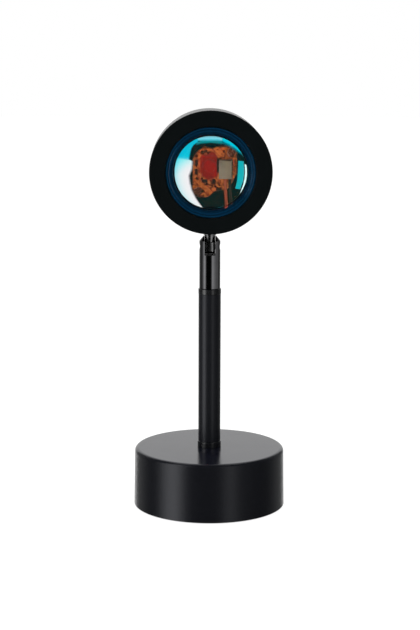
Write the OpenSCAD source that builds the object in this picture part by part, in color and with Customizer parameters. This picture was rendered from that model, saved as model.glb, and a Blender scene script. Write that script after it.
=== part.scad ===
// Sunset projection lamp: a round projector head with a coated dome lens, tilting on a
// knuckle joint at the top of a tube stem that stands on a weighted drum base.
// Millimetres. Z is up, the lamp stands on z = 0 and the lens looks along -Y.

/* [Base] */
// Outside diameter of the base shell at its foot
base_d = 98.6; // [84:0.1:130]
// Height of the base's top face above the table
base_h = 38.2; // [35:0.1:60]
// How much smaller the shell's outer radius is at its top than at its foot
base_draft = 0.5; // [0:0.1:1.5]
// Wall of the drawn steel base shell at its top
base_wall = 1.2; // [1:0.1:2.5]
// Radius of the rounded edge round the top face
base_edge_r = 2.6; // [1:0.1:5]
// Gap between the shell's lower rim and the table
foot_lift = 0.4; // [0.4:0.1:1.6]
// Thickness of the non-slip foot pad
pad_t = 2; // [1.8:0.1:3]
// Thickness of the plate that closes the underside
plate_t = 2; // [1.8:0.1:3]
// Thickness of the cast iron counterweight
weight_t = 8; // [6:0.5:12]
// Gap between the counterweight and the shell's wall
weight_gap = 4; // [2:0.5:8]
// Number of screws that hold the bottom plate
plate_screw_count = 3; // [2:1:6]

/* [Cable inlet] */
// Height of the cable inlet above the table
inlet_z = 10; // [9:0.5:14]
// Bore of the rubber grommet, for the supply cord
inlet_bore_d = 3.8; // [3:0.1:5]
// Diameter of the hole in the shell that the grommet fills
inlet_hole_d = 7.8; // [7:0.1:9]
// Diameter of the inner cable that runs up the stem
cable_d = 2.6; // [2:0.1:3]
// Distance from the shell's back wall to the cable clamp
clamp_inset = 16; // [13:0.5:18]
// Width of the cable clamp's strap along the cable
clamp_w = 6; // [4:0.5:8]
// Thickness of the cable clamp's strap
clamp_t = 1.5; // [1:0.1:2]

/* [Stem] */
// Length of the stem tube between its two collars
tube_len = 97.5; // [60:0.1:250]
// Outside diameter of the stem tube
tube_d = 14.5; // [13.5:0.1:18]
// Wall of the stem tube
tube_wall = 1; // [0.8:0.1:1.2]
// Outside diameter of the hollow threaded rod inside the tube
rod_d = 10; // [9:0.1:10.2]
// Bore of the threaded rod
rod_bore_d = 7; // [5:0.1:7.6]
// Diameter of the collar at the foot of the tube
lower_collar_d = 15.3; // [15:0.1:24]
// Height of the collar at the foot of the tube
lower_collar_h = 3.9; // [3:0.1:10]
// Diameter of the collar at the top of the tube
upper_collar_d = 14.8; // [14.4:0.1:20]
// Height of the collar at the top of the tube
upper_collar_h = 3.6; // [2:0.1:8]
// Depth that each collar's spigot reaches into the tube
spigot_h = 4; // [2:0.5:10]

/* [Knuckle joint] */
// Outside diameter of the fork
fork_d = 13.6; // [13:0.1:16]
// Depth of the fork's socket for the threaded rod
socket_h = 10.5; // [6:0.5:14]
// Height from the fork's foot to the floor of its slot
fork_floor_h = 22; // [17:0.5:40]
// Width of the slot between the fork's ears
slot_w = 7; // [6:0.1:7.4]
// Radius of the round end of the tongue about the pivot
tongue_r = 4.6; // [4.2:0.1:5]
// Clearance between the tongue's round end and the slot's floor
slot_floor_gap = 0.5; // [0.4:0.1:1.5]
// Height of the ears' cylindrical part above the pivot
ear_h = 3.8; // [3:0.1:4]
// Height of the cone that tapers the top of the ears
ear_cone_h = 3.3; // [2:0.1:4]
// Radius of the ears' cone at its top
ear_top_r = 4.1; // [3.9:0.1:5]
// Diameter of the pivot screws' shanks
pivot_d = 3; // [2.5:0.1:3.2]
// Diameter of the neck above the ears
neck_d = 8; // [7:0.1:9]
// Distance from the pivot to the underside of the head's barrel
neck_len = 11.3; // [11.2:0.1:16]

/* [Head] */
// Outside diameter of the head's barrel and bezel
head_d = 76.8; // [76:0.1:90]
// Length of the barrel
barrel_len = 36; // [33:1:50]
// Wall of the barrel
barrel_wall = 3; // [2.6:0.1:3.4]
// Distance that the barrel reaches behind the stem's axis
barrel_back = 10; // [10:0.5:12]
// Thickness of the bezel in front of the barrel
bezel_t = 5; // [4.6:0.1:8]
// Diameter of the bezel's opening round the lens
bezel_opening_d = 56.4; // [54:0.1:58]
// Thickness of the bezel's lip in front of the lens
bezel_lip_t = 1.6; // [1:0.1:2]
// Length of the bezel's threaded skirt inside the barrel
skirt_len = 5; // [4:0.5:8]

/* [Lens] */
// Diameter of the lens's dome
dome_d = 47.8; // [40:0.1:50]
// Height of the dome above its flange
dome_h = 10.5; // [7:0.1:16]
// Diameter of the lens's flange
lens_d = 61; // [60:0.1:62]
// Depth of the groove between the dome and its flange
lens_groove_h = 0.8; // [0.4:0.1:1.5]
// Width of the groove between the dome and its flange
lens_groove_w = 0.9; // [0.5:0.1:1.5]
// Height of the raised ring on the flange
lens_ring_h = 0.5; // [0.2:0.1:0.8]
// Thickness of the silicone gasket behind the lens
gasket_t = 1; // [0.6:0.1:2]

/* [Heat sink] */
// Number of cooling fins
fin_count = 4; // [2:1:8]
// Thickness of a cooling fin
fin_t = 1.6; // [1:0.1:3]
// Gap between two cooling fins
fin_gap = 2.4; // [1.5:0.1:4]
// Diameter of the cooling fins
fin_d = 73.4; // [73:0.1:75]
// Diameter of the core that carries the fins
sink_core_d = 34; // [30:1:50]
// Thickness of the flange that closes the barrel
sink_flange_t = 3; // [2:0.5:6]
// Depth of the spigot that enters the barrel
sink_spigot_h = 3; // [2:0.5:3]

/* [Light source] */
// Width of the lamp's circuit board
board_w = 14.8; // [14.8:0.1:17]
// Height of the lamp's circuit board
board_h = 16.8; // [16.8:0.1:19]
// Thickness of the lamp's circuit board
board_t = 1.2; // [0.8:0.1:2]
// Diameter of the light-emitting disc
phosphor_d = 4.2; // [3:0.1:4.3]
// Thickness of the heat-conducting pad behind the board
thermal_pad_t = 0.3; // [0.2:0.1:1]
// Height of the pedestal that carries the board
pedestal_h = 5.5; // [2:0.1:6]
// Diameter of each of the two leads to the board
lead_d = 1; // [0.8:0.05:1.1]

/* [Hidden] */
$fn = 96;

// Fits between pieces, as radial or face-to-face gaps
thread_gap = 0.05;
pivot_gap = 0.05;
slip_gap = 0.1;
wire_gap = 0.4; // round a cable or between its end and the open
past = 1; // how far a cut runs past the face it opens
join = 0.5; // how far one solid of a piece reaches into the next
touch = 0.01; // overlap of two solids that meet face to face

// Chamfers on the rims of turned pieces
fine_edge = 0.3;
soft_edge = 0.4;
weight_edge = 1;

// Base, from the table up
base_r = base_d / 2;
base_top_r = base_r - base_draft;
base_in_r = base_top_r - base_wall;
pad_inset = 1.5;
pad_r = base_in_r - pad_inset;
plate_z = pad_t;
plate_top_z = plate_z + plate_t;
plate_r = base_in_r - slip_gap;
weight_top_z = base_h - base_wall;
weight_z = weight_top_z - weight_t;
weight_r = base_in_r - weight_gap;
plate_boss_r = 4;
plate_boss_inset = 3;
plate_screw_r = weight_r - plate_boss_r - plate_boss_inset;
first_boss_angle = -90;
plate_thread_h = 8; // how far a plate screw reaches into its boss

// Machine screws: shank, head diameter, head height
plate_screw = [3, 5.6, 1.6];
clamp_screw = [2, 3.6, 1.3];
sink_screw = [3, 5.4, 2];
board_screw = [1.6, 2.9, 0.8];
board_screw_bite = 2; // how far a board screw reaches into the pedestal

// Cable inlet and clamp
grommet_flange_t = 1.4;
grommet_flange_r = inlet_hole_d / 2 + 1.5;
// the outer flange rests on the shell where its wall stands out most, at the flange's foot
grommet_foot_z = inlet_z - grommet_flange_r;
grommet_out_y = base_r - base_draft * grommet_foot_z / base_h + thread_gap;
grommet_in_y = sqrt(pow(base_in_r, 2) - pow(grommet_flange_r, 2)) - thread_gap;
clamp_y = base_in_r - clamp_inset;
cable_r = cable_d / 2;
clamp_arch_r = cable_r + thread_gap + clamp_t;
clamp_ear_w = 5.4;
clamp_screw_x = clamp_arch_r + (clamp_ear_w - wire_gap) / 2;
cable_run_z = plate_top_z + cable_r + thread_gap;

// Stack of nuts and washers under the counterweight
base_washer_t = 1;
base_washer_r = 10;
lock_washer_t = 0.8;
lock_washer_r = 7.2;
lock_tooth = [1.4, 1.4]; // how far a tooth stands out, and its width
lock_tooth_count = 16;
base_nut_t = 4;
base_nut_af = 14;
rod_tail = 2;
rod_r = rod_d / 2;
thread_r = rod_r + thread_gap;
base_nut_z = weight_z - base_washer_t - lock_washer_t - base_nut_t;
rod_bottom_z = base_nut_z - rod_tail;

// Stem, from the base's top face up
tube_z = base_h + lower_collar_h;
tube_top_z = tube_z + tube_len;
fork_z = tube_top_z + upper_collar_h;
rod_top_z = fork_z + socket_h - join;
tube_in_r = tube_d / 2 - tube_wall;
spigot_r = tube_in_r - thread_gap;
collar_edge = 0.35;

// Knuckle joint
fork_r = fork_d / 2;
slot_floor_z = fork_z + fork_floor_h;
pivot_z = slot_floor_z + slot_floor_gap + tongue_r;
tongue_t = slot_w - 2 * slip_gap;
neck_r = tongue_t / 2;
neck_top_r = neck_d / 2;
// the ears' farthest edge beside the slot, from the pivot: the wider neck starts beyond it
ear_reach = sqrt(pow(ear_h + ear_cone_h, 2) + pow(ear_top_r, 2) - pow(slot_w / 2, 2));
neck_step_z = pivot_z + ear_reach + 2 * slip_gap;
fork_wire_r = cable_r + wire_gap;
lead_bore_r = 1.4;
pivot_r = pivot_d / 2;
pivot_head_r = pivot_r + 0.8;
pivot_head_t = 1.1;
pivot_web = 1.7; // thickness of the ear under a pivot screw's head
pivot_seat_x = slot_w / 2 + pivot_web;
pivot_tip_x = lead_bore_r + 2 * slip_gap;
pivot_slot = [0.5, 0.6]; // width and depth of a pivot screw's slot
shoulder_r = 5;
shoulder_t = 2;
stud_r = 3;
neck_nut_af = 10;
neck_nut_t = 3.6;
stud_end = 0.5; // how far the stud stands out of its nut
neck_washer_t = 0.8;
neck_washer_r = 6;
nut_pad_w = 13;
nut_pad_t = 2;

// Head: s runs forwards from the stem's axis, along the head's own axis
head_r = head_d / 2;
head_z = pivot_z + neck_len + head_r;
spot_rim = 0.5; // how far the neck's seat runs past its shoulder
spot_depth = 0.05; // how far the seat is cut past the barrel's round
spot_face_y = spot_depth - sqrt(pow(head_r, 2) - pow(shoulder_r + spot_rim, 2));
barrel_in_r = head_r - barrel_wall;
barrel_back_s = -barrel_back;
barrel_front_s = barrel_len - barrel_back;
bezel_front_s = barrel_front_s + bezel_t;
bezel_edge = 0.5;
opening_edge = 0.6;
nut_pad_y = -barrel_in_r + nut_pad_t;
stud_top_y = nut_pad_y + neck_washer_t + neck_nut_t + stud_end;
skirt_r = barrel_in_r - thread_gap;
skirt_back_s = barrel_front_s - skirt_len;

// Lens and what holds it
lens_r = lens_d / 2;
lens_seat_gap = 0.3;
lens_seat_r = lens_r + lens_seat_gap;
lens_face_s = bezel_front_s - bezel_lip_t - thread_gap;
lens_back_s = barrel_front_s;
dome_r = dome_d / 2;
dome_sphere_r = (pow(dome_r, 2) + pow(dome_h, 2)) / (2 * dome_h);
lens_ring_w = 1.2;
lens_ring_out_r = bezel_opening_d / 2 - lens_seat_gap;
lens_ring_in_r = lens_ring_out_r - lens_ring_w;
gasket_w = 2.6;
gasket_in_r = lens_r - gasket_w;
gasket_back_s = lens_back_s - gasket_t;
holder_flange_t = 2;
holder_back_s = gasket_back_s - holder_flange_t;
light_tube_r = 26.3;
light_tube_in_r = 24.8;
lead_hole_r = 2.2;

// Heat sink and the light source on it
sink_front_s = barrel_back_s + sink_spigot_h;
sink_flange_s = barrel_back_s - sink_flange_t;
sink_back_s = sink_flange_s - fin_count * (fin_gap + fin_t);
sink_screw_inset = 3;
sink_screw_r = barrel_in_r - sink_screw_inset;
sink_boss_r = 3.4;
sink_boss_len = 10;
sink_boss_end = 2; // solid end of each boss
sink_tip_gap = 1; // from a screw's tip to that end
sink_screw_angles = [90, 210, 330];
access_hole_r = 3.2;
pedestal_r = 15;
pad_face_s = sink_front_s + pedestal_h + thermal_pad_t;
board_face_s = pad_face_s + board_t;
board_centre = [1.8, -2]; // the light-emitting disc sits on the head's axis
emitter_size = [5, 7.2, 0.5];
dam_h = 0.5;
dam_w = 0.3;
emitter_face_s = board_face_s + emitter_size.z;
board_hole_inset = 1.7;
board_hole = [board_w / 2 - board_hole_inset, board_h / 2 - board_hole_inset];
chip_t = 0.6;
// The chips on the board: [across, up, width, height], from the head's axis
chips = [
    [-1.7, -5.2, 2, 1.2], [1.6, -5.4, 1.2, 2], [3.3, -7.9, 2, 1.2], [-4.6, -2, 1, 2],
    [-4.6, 1.2, 1, 2]
];
terminal_size = [4.6, 6.6, 2.2];
terminal_centre = [5.7, -1.1];
terminal_hole_r = 0.65;
lead_pads = [5.6, 7.2]; // where the two leads enter the terminal, across the head
lead_depth = 1.2; // how far a lead reaches into the terminal
pad_y = terminal_centre.y - terminal_size.y / 2 + lead_depth; // and up it
lead_z = board_face_s + terminal_size.z / 2;

// Route of the inner cable, from the clamp to the top of the fork's wire bore
cable_route = [
    [0, clamp_y + 6, cable_run_z], [0, clamp_y + 3, cable_run_z],
    [0, clamp_y - 3, cable_run_z], [0, clamp_y - 8, cable_run_z],
    [0, 16, cable_run_z + 0.1], [0, 9, cable_run_z + 0.8],
    [0, 4, cable_run_z + 3.2], [0, 1, cable_run_z + 7.2],
    [0, 0, cable_run_z + 12], [0, 0, cable_run_z + 22],
    [0, 0, tube_z + 20], [0, 0, tube_top_z - 20],
    [0, 0, fork_z], [0, 0, slot_floor_z - wire_gap]
];
// Route of one lead in the head, from its place on the board down into the hollow neck
lead_x = 0.65; // half the spacing of the two leads inside the neck
function lead_route(pad_x, neck_x) = [
    [pad_x, pad_y, lead_z], [pad_x, pad_y - 2, lead_z],
    [pad_x, pad_y - 5, lead_z], [pad_x, -14, lead_z],
    [0.7 * pad_x + 0.3 * neck_x, -18, lead_z - 0.2],
    [0.3 * pad_x + 0.7 * neck_x, -22, 0.4],
    [neck_x, -26, 0], [neck_x, stud_top_y - 2, 0],
    [neck_x, -34, 0], [neck_x, -40, 0], [neck_x, pivot_z - head_z + 3.5, 0]
];

// ---- Helpers ----

// A tube along the local Z axis, from z = low to z = high
module ring(outer_r, inner_r, low, high) {
    translate([0, 0, low])
        difference() {
            cylinder(r = outer_r, h = high - low);
            translate([0, 0, -past])
                cylinder(r = inner_r, h = high - low + 2 * past);
        }
}

// A solid disc along the local Z axis
module disc(radius, low, high) {
    translate([0, 0, low])
        cylinder(r = radius, h = high - low);
}

// A disc whose two rims are chamfered
module chamfered_disc(radius, low, high, edge) {
    rotate_extrude()
        polygon([
            [0, low], [radius - edge, low], [radius, low + edge],
            [radius, high - edge], [radius - edge, high], [0, high]
        ]);
}

// A hexagonal nut with a round bore, its foot at z = 0
module hex_nut(across_flats, height, bore_r) {
    difference() {
        cylinder(r = across_flats / sqrt(3), h = height, $fn = 6);
        translate([0, 0, -past])
            cylinder(r = bore_r, h = height + 2 * past);
    }
}

// A screw that points down from the origin: the head stands above z = 0
// size is [shank diameter, head diameter, head height]
module screw(size, length) {
    difference() {
        union() {
            disc(size[0] / 2, -length, touch);
            disc(size[1] / 2, 0, size[2]);
        }
        for (turn = [0, 90])
            rotate([0, 0, turn])
                translate([-size[1] * 0.3, -size[0] * 0.1, size[2] * 0.45])
                    cube([size[1] * 0.6, size[0] * 0.2, size[2]]);
    }
}

// Copies a piece at each screw place of the bottom plate
module at_plate_screws() {
    for (k = [0 : plate_screw_count - 1])
        rotate([0, 0, first_boss_angle + k * 360 / plate_screw_count])
            translate([plate_screw_r, 0, 0])
                children();
}

// Puts a piece that is drawn about +Z on the head's axis, facing -Y
module on_head() {
    translate([0, 0, head_z])
        rotate([90, 0, 0])
            children();
}

// Copies a piece at each heat sink screw, in the head's own frame
module at_sink_screws() {
    for (angle = sink_screw_angles)
        rotate([0, 0, angle])
            translate([sink_screw_r, 0, 0])
                children();
}

// Copies a piece at the two mounting holes of the circuit board
module at_board_screws() {
    for (side = [-1, 1])
        translate([
            board_centre.x + side * board_hole.x, board_centre.y + side * board_hole.y, 0
        ])
            children();
}

// One more point on a smooth curve through four others, at share t from b to c
function smooth_point(a, b, c, d, t) =
    0.5 * (2 * b + (c - a) * t + (2 * a - 5 * b + 4 * c - d) * t * t
        + (3 * b - a - 3 * c + d) * t * t * t);

// A smooth curve through all the points, with some steps on each stretch
function smooth_path(points, steps) = concat(
    [for (i = [0 : len(points) - 2], k = [0 : steps - 1])
        smooth_point(
            points[max(i - 1, 0)], points[i], points[i + 1],
            points[min(i + 2, len(points) - 1)], k / steps)],
    [points[len(points) - 1]]
);

function unit(v) = v / norm(v);

// Direction of a path at point i
function heading(path, i) =
    unit(path[min(i + 1, len(path) - 1)] - path[max(i - 1, 0)]);

// The ring of corners about point i, kept square to the path
function tube_ring(path, i, radius, sides) =
    let (
        along = heading(path, i),
        across = unit([1, 0, 0] - along.x * along),
        third = cross(along, across)
    )
    [for (k = [0 : sides - 1])
        path[i] + radius * (cos(k * 360 / sides) * across + sin(k * 360 / sides) * third)];

// A closed round tube that follows a path
module swept_tube(path, radius, sides) {
    rings = len(path);
    corners = [for (i = [0 : rings - 1]) each tube_ring(path, i, radius, sides)];
    walls = [for (i = [0 : rings - 2], k = [0 : sides - 1])
        let (next = (k + 1) % sides, here = i * sides, above = here + sides)
        each [
            [here + k, above + k, above + next],
            [here + k, above + next, here + next]
        ]];
    foot = [for (k = [1 : sides - 2]) [0, k, k + 1]];
    top_start = (rings - 1) * sides;
    top = [for (k = [1 : sides - 2]) [top_start, top_start + k + 1, top_start + k]];
    polyhedron(points = corners, faces = concat(walls, foot, top));
}

// ---- Base ----

module base_shell() {
    color("#17181a")
    difference() {
        rotate_extrude() {
            polygon([
                [0, foot_lift], [base_r, foot_lift], [base_top_r, base_h - base_edge_r],
                [0, base_h - base_edge_r]
            ]);
            translate([0, base_h - 2 * base_edge_r])
                square([base_top_r - base_edge_r, 2 * base_edge_r]);
            translate([base_top_r - base_edge_r, base_h - base_edge_r])
                circle(r = base_edge_r);
        }
        // hollow inside, open at the bottom
        rotate_extrude() {
            inner_edge_r = max(base_edge_r - base_wall, fine_edge);
            translate([0, foot_lift - past])
                square([base_in_r, weight_top_z - inner_edge_r - foot_lift + past]);
            translate([0, foot_lift - past])
                square([base_in_r - inner_edge_r, weight_top_z - foot_lift + past]);
            translate([base_in_r - inner_edge_r, weight_top_z - inner_edge_r])
                circle(r = inner_edge_r);
        }
        // hole for the threaded rod
        disc(thread_r, weight_top_z - past, base_h + past);
        // hole for the cable grommet, through the back wall
        translate([0, grommet_in_y - past, inlet_z])
            rotate([-90, 0, 0])
                cylinder(d = inlet_hole_d, h = grommet_out_y - grommet_in_y + 2 * past);
    }
}

module counterweight() {
    color("#4a4a4c")
    difference() {
        union() {
            chamfered_disc(weight_r, weight_z, weight_top_z, weight_edge);
            at_plate_screws()
                disc(plate_boss_r, plate_top_z, weight_z + weight_edge);
        }
        disc(thread_r, weight_z - past, weight_top_z + past);
        at_plate_screws()
            disc(plate_screw[0] / 2 + thread_gap, plate_top_z - past,
                plate_top_z + plate_thread_h + past);
    }
}

module bottom_plate() {
    color("#2b2c2e")
    difference() {
        disc(plate_r, plate_z, plate_top_z);
        at_plate_screws() {
            disc(plate_screw[0] / 2 + slip_gap, plate_z - past, plate_top_z + past);
            disc(plate_screw[1] / 2 + slip_gap, plate_z - past, plate_z + plate_screw[2]);
        }
        for (side = [-1, 1])
            translate([side * clamp_screw_x, clamp_y, 0])
                disc(clamp_screw[0] / 2 + thread_gap, plate_z - past, plate_top_z + past);
    }
}

module plate_screws() {
    color("#b9bbc0")
    at_plate_screws()
        translate([0, 0, plate_z + plate_screw[2]])
            rotate([180, 0, 0])
                screw(plate_screw, plate_t - plate_screw[2] + plate_thread_h);
}

module foot_pad() {
    color("#202123")
    disc(pad_r, 0, pad_t);
}

module cable_grommet() {
    color("#141414")
    translate([0, 0, inlet_z])
        rotate([-90, 0, 0])
            difference() {
                union() {
                    chamfered_disc(grommet_flange_r, grommet_out_y,
                        grommet_out_y + grommet_flange_t, soft_edge);
                    disc(inlet_hole_d / 2 - thread_gap, grommet_in_y - grommet_flange_t / 2,
                        grommet_out_y + grommet_flange_t / 2);
                    chamfered_disc(grommet_flange_r, grommet_in_y - grommet_flange_t,
                        grommet_in_y, soft_edge);
                }
                disc(inlet_bore_d / 2, grommet_in_y - grommet_flange_t - past,
                    grommet_out_y + grommet_flange_t + past);
            }
}

// A round bar along the cable clamp's channel
module clamp_channel(radius, length) {
    translate([0, clamp_y - length / 2, cable_run_z])
        rotate([-90, 0, 0])
            cylinder(r = radius, h = length);
}

module cable_clamp() {
    color("#26272a")
    difference() {
        union() {
            clamp_channel(clamp_arch_r, clamp_w);
            translate([0, clamp_y - clamp_w / 2, plate_top_z])
                for (side = [0, 1])
                    mirror([side, 0, 0]) {
                        cube([clamp_arch_r, clamp_w, cable_run_z - plate_top_z]);
                        cube([clamp_arch_r + clamp_ear_w, clamp_w, clamp_t]);
                    }
        }
        // channel for the cable, open towards the plate
        clamp_channel(cable_r + thread_gap, 2 * clamp_w);
        translate([-cable_r - thread_gap, clamp_y - clamp_w, plate_top_z - past])
            cube([2 * (cable_r + thread_gap), 2 * clamp_w, cable_run_z - plate_top_z + past]);
        // the arch's round foot stops at the plate
        translate([-clamp_arch_r - past, clamp_y - clamp_w, plate_top_z - 2 * clamp_arch_r])
            cube([2 * (clamp_arch_r + past), 2 * clamp_w, 2 * clamp_arch_r]);
        for (side = [-1, 1])
            translate([side * clamp_screw_x, clamp_y, 0])
                disc(clamp_screw[0] / 2 + slip_gap, plate_top_z - past,
                    plate_top_z + clamp_t + past);
    }
}

module clamp_screws() {
    color("#b9bbc0")
    for (side = [-1, 1])
        translate([side * clamp_screw_x, clamp_y, plate_top_z + clamp_t])
            screw(clamp_screw, clamp_t + plate_t - 2 * slip_gap);
}

module inner_cable() {
    color("#1c1c1e")
    swept_tube(smooth_path(cable_route, 3), cable_r, 8);
}

// ---- Stem ----

module threaded_rod() {
    color("#8d9095")
    ring(rod_r, rod_bore_d / 2, rod_bottom_z, rod_top_z);
}

module base_nut() {
    color("#a9abb0")
    translate([0, 0, base_nut_z])
        hex_nut(base_nut_af, base_nut_t, thread_r);
}

module lock_washer() {
    color("#a9abb0")
    translate([0, 0, base_nut_z + base_nut_t])
        difference() {
            union() {
                cylinder(r = lock_washer_r, h = lock_washer_t);
                for (k = [0 : lock_tooth_count - 1])
                    rotate([0, 0, k * 360 / lock_tooth_count])
                        translate([lock_washer_r - lock_tooth.x, -lock_tooth.y / 2, 0])
                            cube([2 * lock_tooth.x, lock_tooth.y, lock_washer_t]);
            }
            translate([0, 0, -past])
                cylinder(r = rod_r + slip_gap, h = lock_washer_t + 2 * past);
        }
}

module base_washer() {
    color("#a9abb0")
    ring(base_washer_r, rod_r + slip_gap, weight_z - base_washer_t, weight_z);
}

module lower_collar() {
    color("#101113")
    difference() {
        union() {
            chamfered_disc(lower_collar_d / 2, base_h, tube_z, collar_edge);
            disc(spigot_r, tube_z - past, tube_z + spigot_h);
        }
        disc(thread_r, base_h - past, tube_z + spigot_h + past);
    }
}

module stem_tube() {
    color("#1b1c1f")
    ring(tube_d / 2, tube_in_r, tube_z, tube_top_z);
}

module upper_collar() {
    color("#0c0d0e")
    difference() {
        union() {
            chamfered_disc(upper_collar_d / 2, tube_top_z, fork_z, collar_edge);
            disc(spigot_r, tube_top_z - spigot_h, tube_top_z + past);
        }
        disc(thread_r, tube_top_z - spigot_h - past, fork_z + past);
    }
}

// ---- Knuckle joint ----

// A cylinder across the joint, from x = low to x = high
module across(radius, low, high) {
    translate([low, 0, pivot_z])
        rotate([0, 90, 0])
            cylinder(r = radius, h = high - low);
}

module joint_fork() {
    color("#5a5b5e")
    difference() {
        rotate_extrude()
            polygon([
                [0, fork_z], [fork_r - fine_edge, fork_z], [fork_r, fork_z + fine_edge],
                [fork_r, pivot_z + ear_h], [ear_top_r, pivot_z + ear_h + ear_cone_h],
                [0, pivot_z + ear_h + ear_cone_h]
            ]);
        disc(thread_r, fork_z - past, fork_z + socket_h);
        disc(fork_wire_r, fork_z, slot_floor_z + past);
        translate([-slot_w / 2, -fork_d, slot_floor_z])
            cube([slot_w, 2 * fork_d, 2 * fork_d]);
        across(pivot_r + thread_gap, -fork_d, fork_d);
        for (side = [0, 1])
            mirror([side, 0, 0])
                across(pivot_head_r + slip_gap, pivot_seat_x, fork_d);
    }
}

module pivot_screws() {
    color("#2a2b2d")
    for (side = [0, 1])
        mirror([side, 0, 0])
            difference() {
                union() {
                    across(pivot_r, pivot_tip_x, pivot_seat_x + touch);
                    across(pivot_head_r, pivot_seat_x, pivot_seat_x + pivot_head_t);
                }
                translate([
                    pivot_seat_x + pivot_head_t - pivot_slot[1], -pivot_head_r - past,
                    pivot_z - pivot_slot[0] / 2
                ])
                    cube([pivot_head_t, 2 * (pivot_head_r + past), pivot_slot[0]]);
            }
}

module joint_tongue() {
    color("#7c7d80")
    difference() {
        union() {
            across(tongue_r, -tongue_t / 2, tongue_t / 2);
            disc(neck_r, pivot_z, neck_step_z + join);
            disc(neck_top_r, neck_step_z, head_z + spot_face_y);
            chamfered_disc(shoulder_r, head_z + spot_face_y - shoulder_t,
                head_z + spot_face_y, fine_edge);
            disc(stud_r, head_z + spot_face_y - join, head_z + stud_top_y);
        }
        across(pivot_r + pivot_gap, -fork_d, fork_d);
        disc(lead_bore_r, pivot_z - tongue_r - past, head_z + stud_top_y + past);
    }
}

module neck_washer() {
    color("#a9abb0")
    ring(neck_washer_r, stud_r + slip_gap, head_z + nut_pad_y,
        head_z + nut_pad_y + neck_washer_t);
}

module neck_nut() {
    color("#a9abb0")
    translate([0, 0, head_z + nut_pad_y + neck_washer_t])
        hex_nut(neck_nut_af, neck_nut_t, stud_r + thread_gap);
}

// ---- Head ----

module head_barrel() {
    color("#151618")
    on_head()
        difference() {
            union() {
                ring(head_r, barrel_in_r, barrel_back_s, barrel_front_s);
                // flat pad inside for the neck's nut
                intersection() {
                    disc(head_r - barrel_wall / 2, barrel_back_s, barrel_front_s);
                    translate([-nut_pad_w / 2, -head_r, -nut_pad_w / 2])
                        cube([nut_pad_w, head_r + nut_pad_y, nut_pad_w]);
                }
                // bosses that the heat sink is screwed to
                at_sink_screws()
                    disc(sink_boss_r, sink_front_s, sink_front_s + sink_boss_len);
            }
            at_sink_screws()
                disc(sink_screw[0] / 2 + thread_gap, sink_front_s - past,
                    sink_front_s + sink_boss_len - sink_boss_end);
            // spot face and hole for the neck
            rotate([90, 0, 0]) {
                disc(shoulder_r + slip_gap, -spot_face_y, head_r + past);
                disc(stud_r + slip_gap, -nut_pad_y - past, head_r + past);
            }
        }
}

module front_bezel() {
    color("#101113")
    on_head()
        difference() {
            union() {
                rotate_extrude()
                    polygon([
                        [0, barrel_front_s], [head_r, barrel_front_s],
                        [head_r, bezel_front_s - bezel_edge],
                        [head_r - bezel_edge, bezel_front_s],
                        [0, bezel_front_s]
                    ]);
                disc(skirt_r, skirt_back_s, barrel_front_s + touch);
            }
            disc(lens_seat_r, skirt_back_s - past, bezel_front_s - bezel_lip_t);
            rotate_extrude()
                polygon([
                    [0, skirt_back_s], [bezel_opening_d / 2, skirt_back_s],
                    [bezel_opening_d / 2, bezel_front_s - opening_edge],
                    [bezel_opening_d / 2 + opening_edge + past, bezel_front_s + past],
                    [0, bezel_front_s + past]
                ]);
        }
}

module lens() {
    color("#1fb6c4", 0.6)
    on_head()
        difference() {
            union() {
                disc(lens_r, lens_back_s, lens_face_s);
                ring(lens_ring_out_r, lens_ring_in_r, lens_face_s - join, lens_face_s + lens_ring_h);
                intersection() {
                    disc(dome_r, lens_back_s + join, lens_face_s + dome_h + past);
                    translate([0, 0, lens_face_s + dome_h - dome_sphere_r])
                        sphere(r = dome_sphere_r);
                }
            }
            ring(dome_r + lens_groove_w, dome_r, lens_face_s - lens_groove_h, lens_face_s + past);
        }
}

module lens_gasket() {
    color("#3a3b3d")
    on_head()
        ring(lens_r, gasket_in_r, gasket_back_s, lens_back_s);
}

module light_tube() {
    color("#0e0f10")
    on_head()
        difference() {
            union() {
                ring(lens_r, light_tube_in_r, holder_back_s, gasket_back_s);
                ring(light_tube_r, light_tube_in_r, sink_front_s, holder_back_s + touch);
            }
            rotate([90, 0, 0])
                disc(lead_hole_r, light_tube_in_r - past, light_tube_r + past);
        }
}

module heat_sink() {
    color("#17181a")
    on_head()
        difference() {
            union() {
                disc(barrel_in_r - thread_gap, barrel_back_s - touch, sink_front_s);
                chamfered_disc(fin_d / 2, sink_flange_s, barrel_back_s, soft_edge);
                disc(sink_core_d / 2, sink_back_s + join, sink_flange_s + join);
                for (k = [0 : fin_count - 1])
                    translate([0, 0, sink_back_s + k * (fin_gap + fin_t)])
                        chamfered_disc(fin_d / 2, 0, fin_t, fine_edge);
                disc(pedestal_r, sink_front_s - join, sink_front_s + pedestal_h);
            }
            at_sink_screws() {
                disc(sink_screw[0] / 2 + slip_gap, sink_flange_s - past, sink_front_s + past);
                disc(access_hole_r, sink_back_s - past, sink_flange_s);
            }
            at_board_screws()
                disc(board_screw[0] / 2 + thread_gap, sink_front_s,
                    sink_front_s + pedestal_h + past);
        }
}

module sink_screws() {
    color("#b9bbc0")
    on_head()
        at_sink_screws()
            translate([0, 0, sink_flange_s])
                rotate([180, 0, 0])
                    screw(sink_screw, sink_front_s - sink_flange_s + sink_boss_len
                        - sink_boss_end - sink_tip_gap);
}

// A flat plate with the board's outline, from s = low up
module board_plate(low, thickness) {
    translate([board_centre.x - board_w / 2, board_centre.y - board_h / 2, low])
        cube([board_w, board_h, thickness]);
}

module thermal_pad() {
    color("#9aa0a6")
    on_head()
        difference() {
            board_plate(sink_front_s + pedestal_h, thermal_pad_t);
            at_board_screws()
                disc(board_screw[0] / 2 + slip_gap, pad_face_s - thermal_pad_t - past,
                    pad_face_s + past);
        }
}

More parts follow.
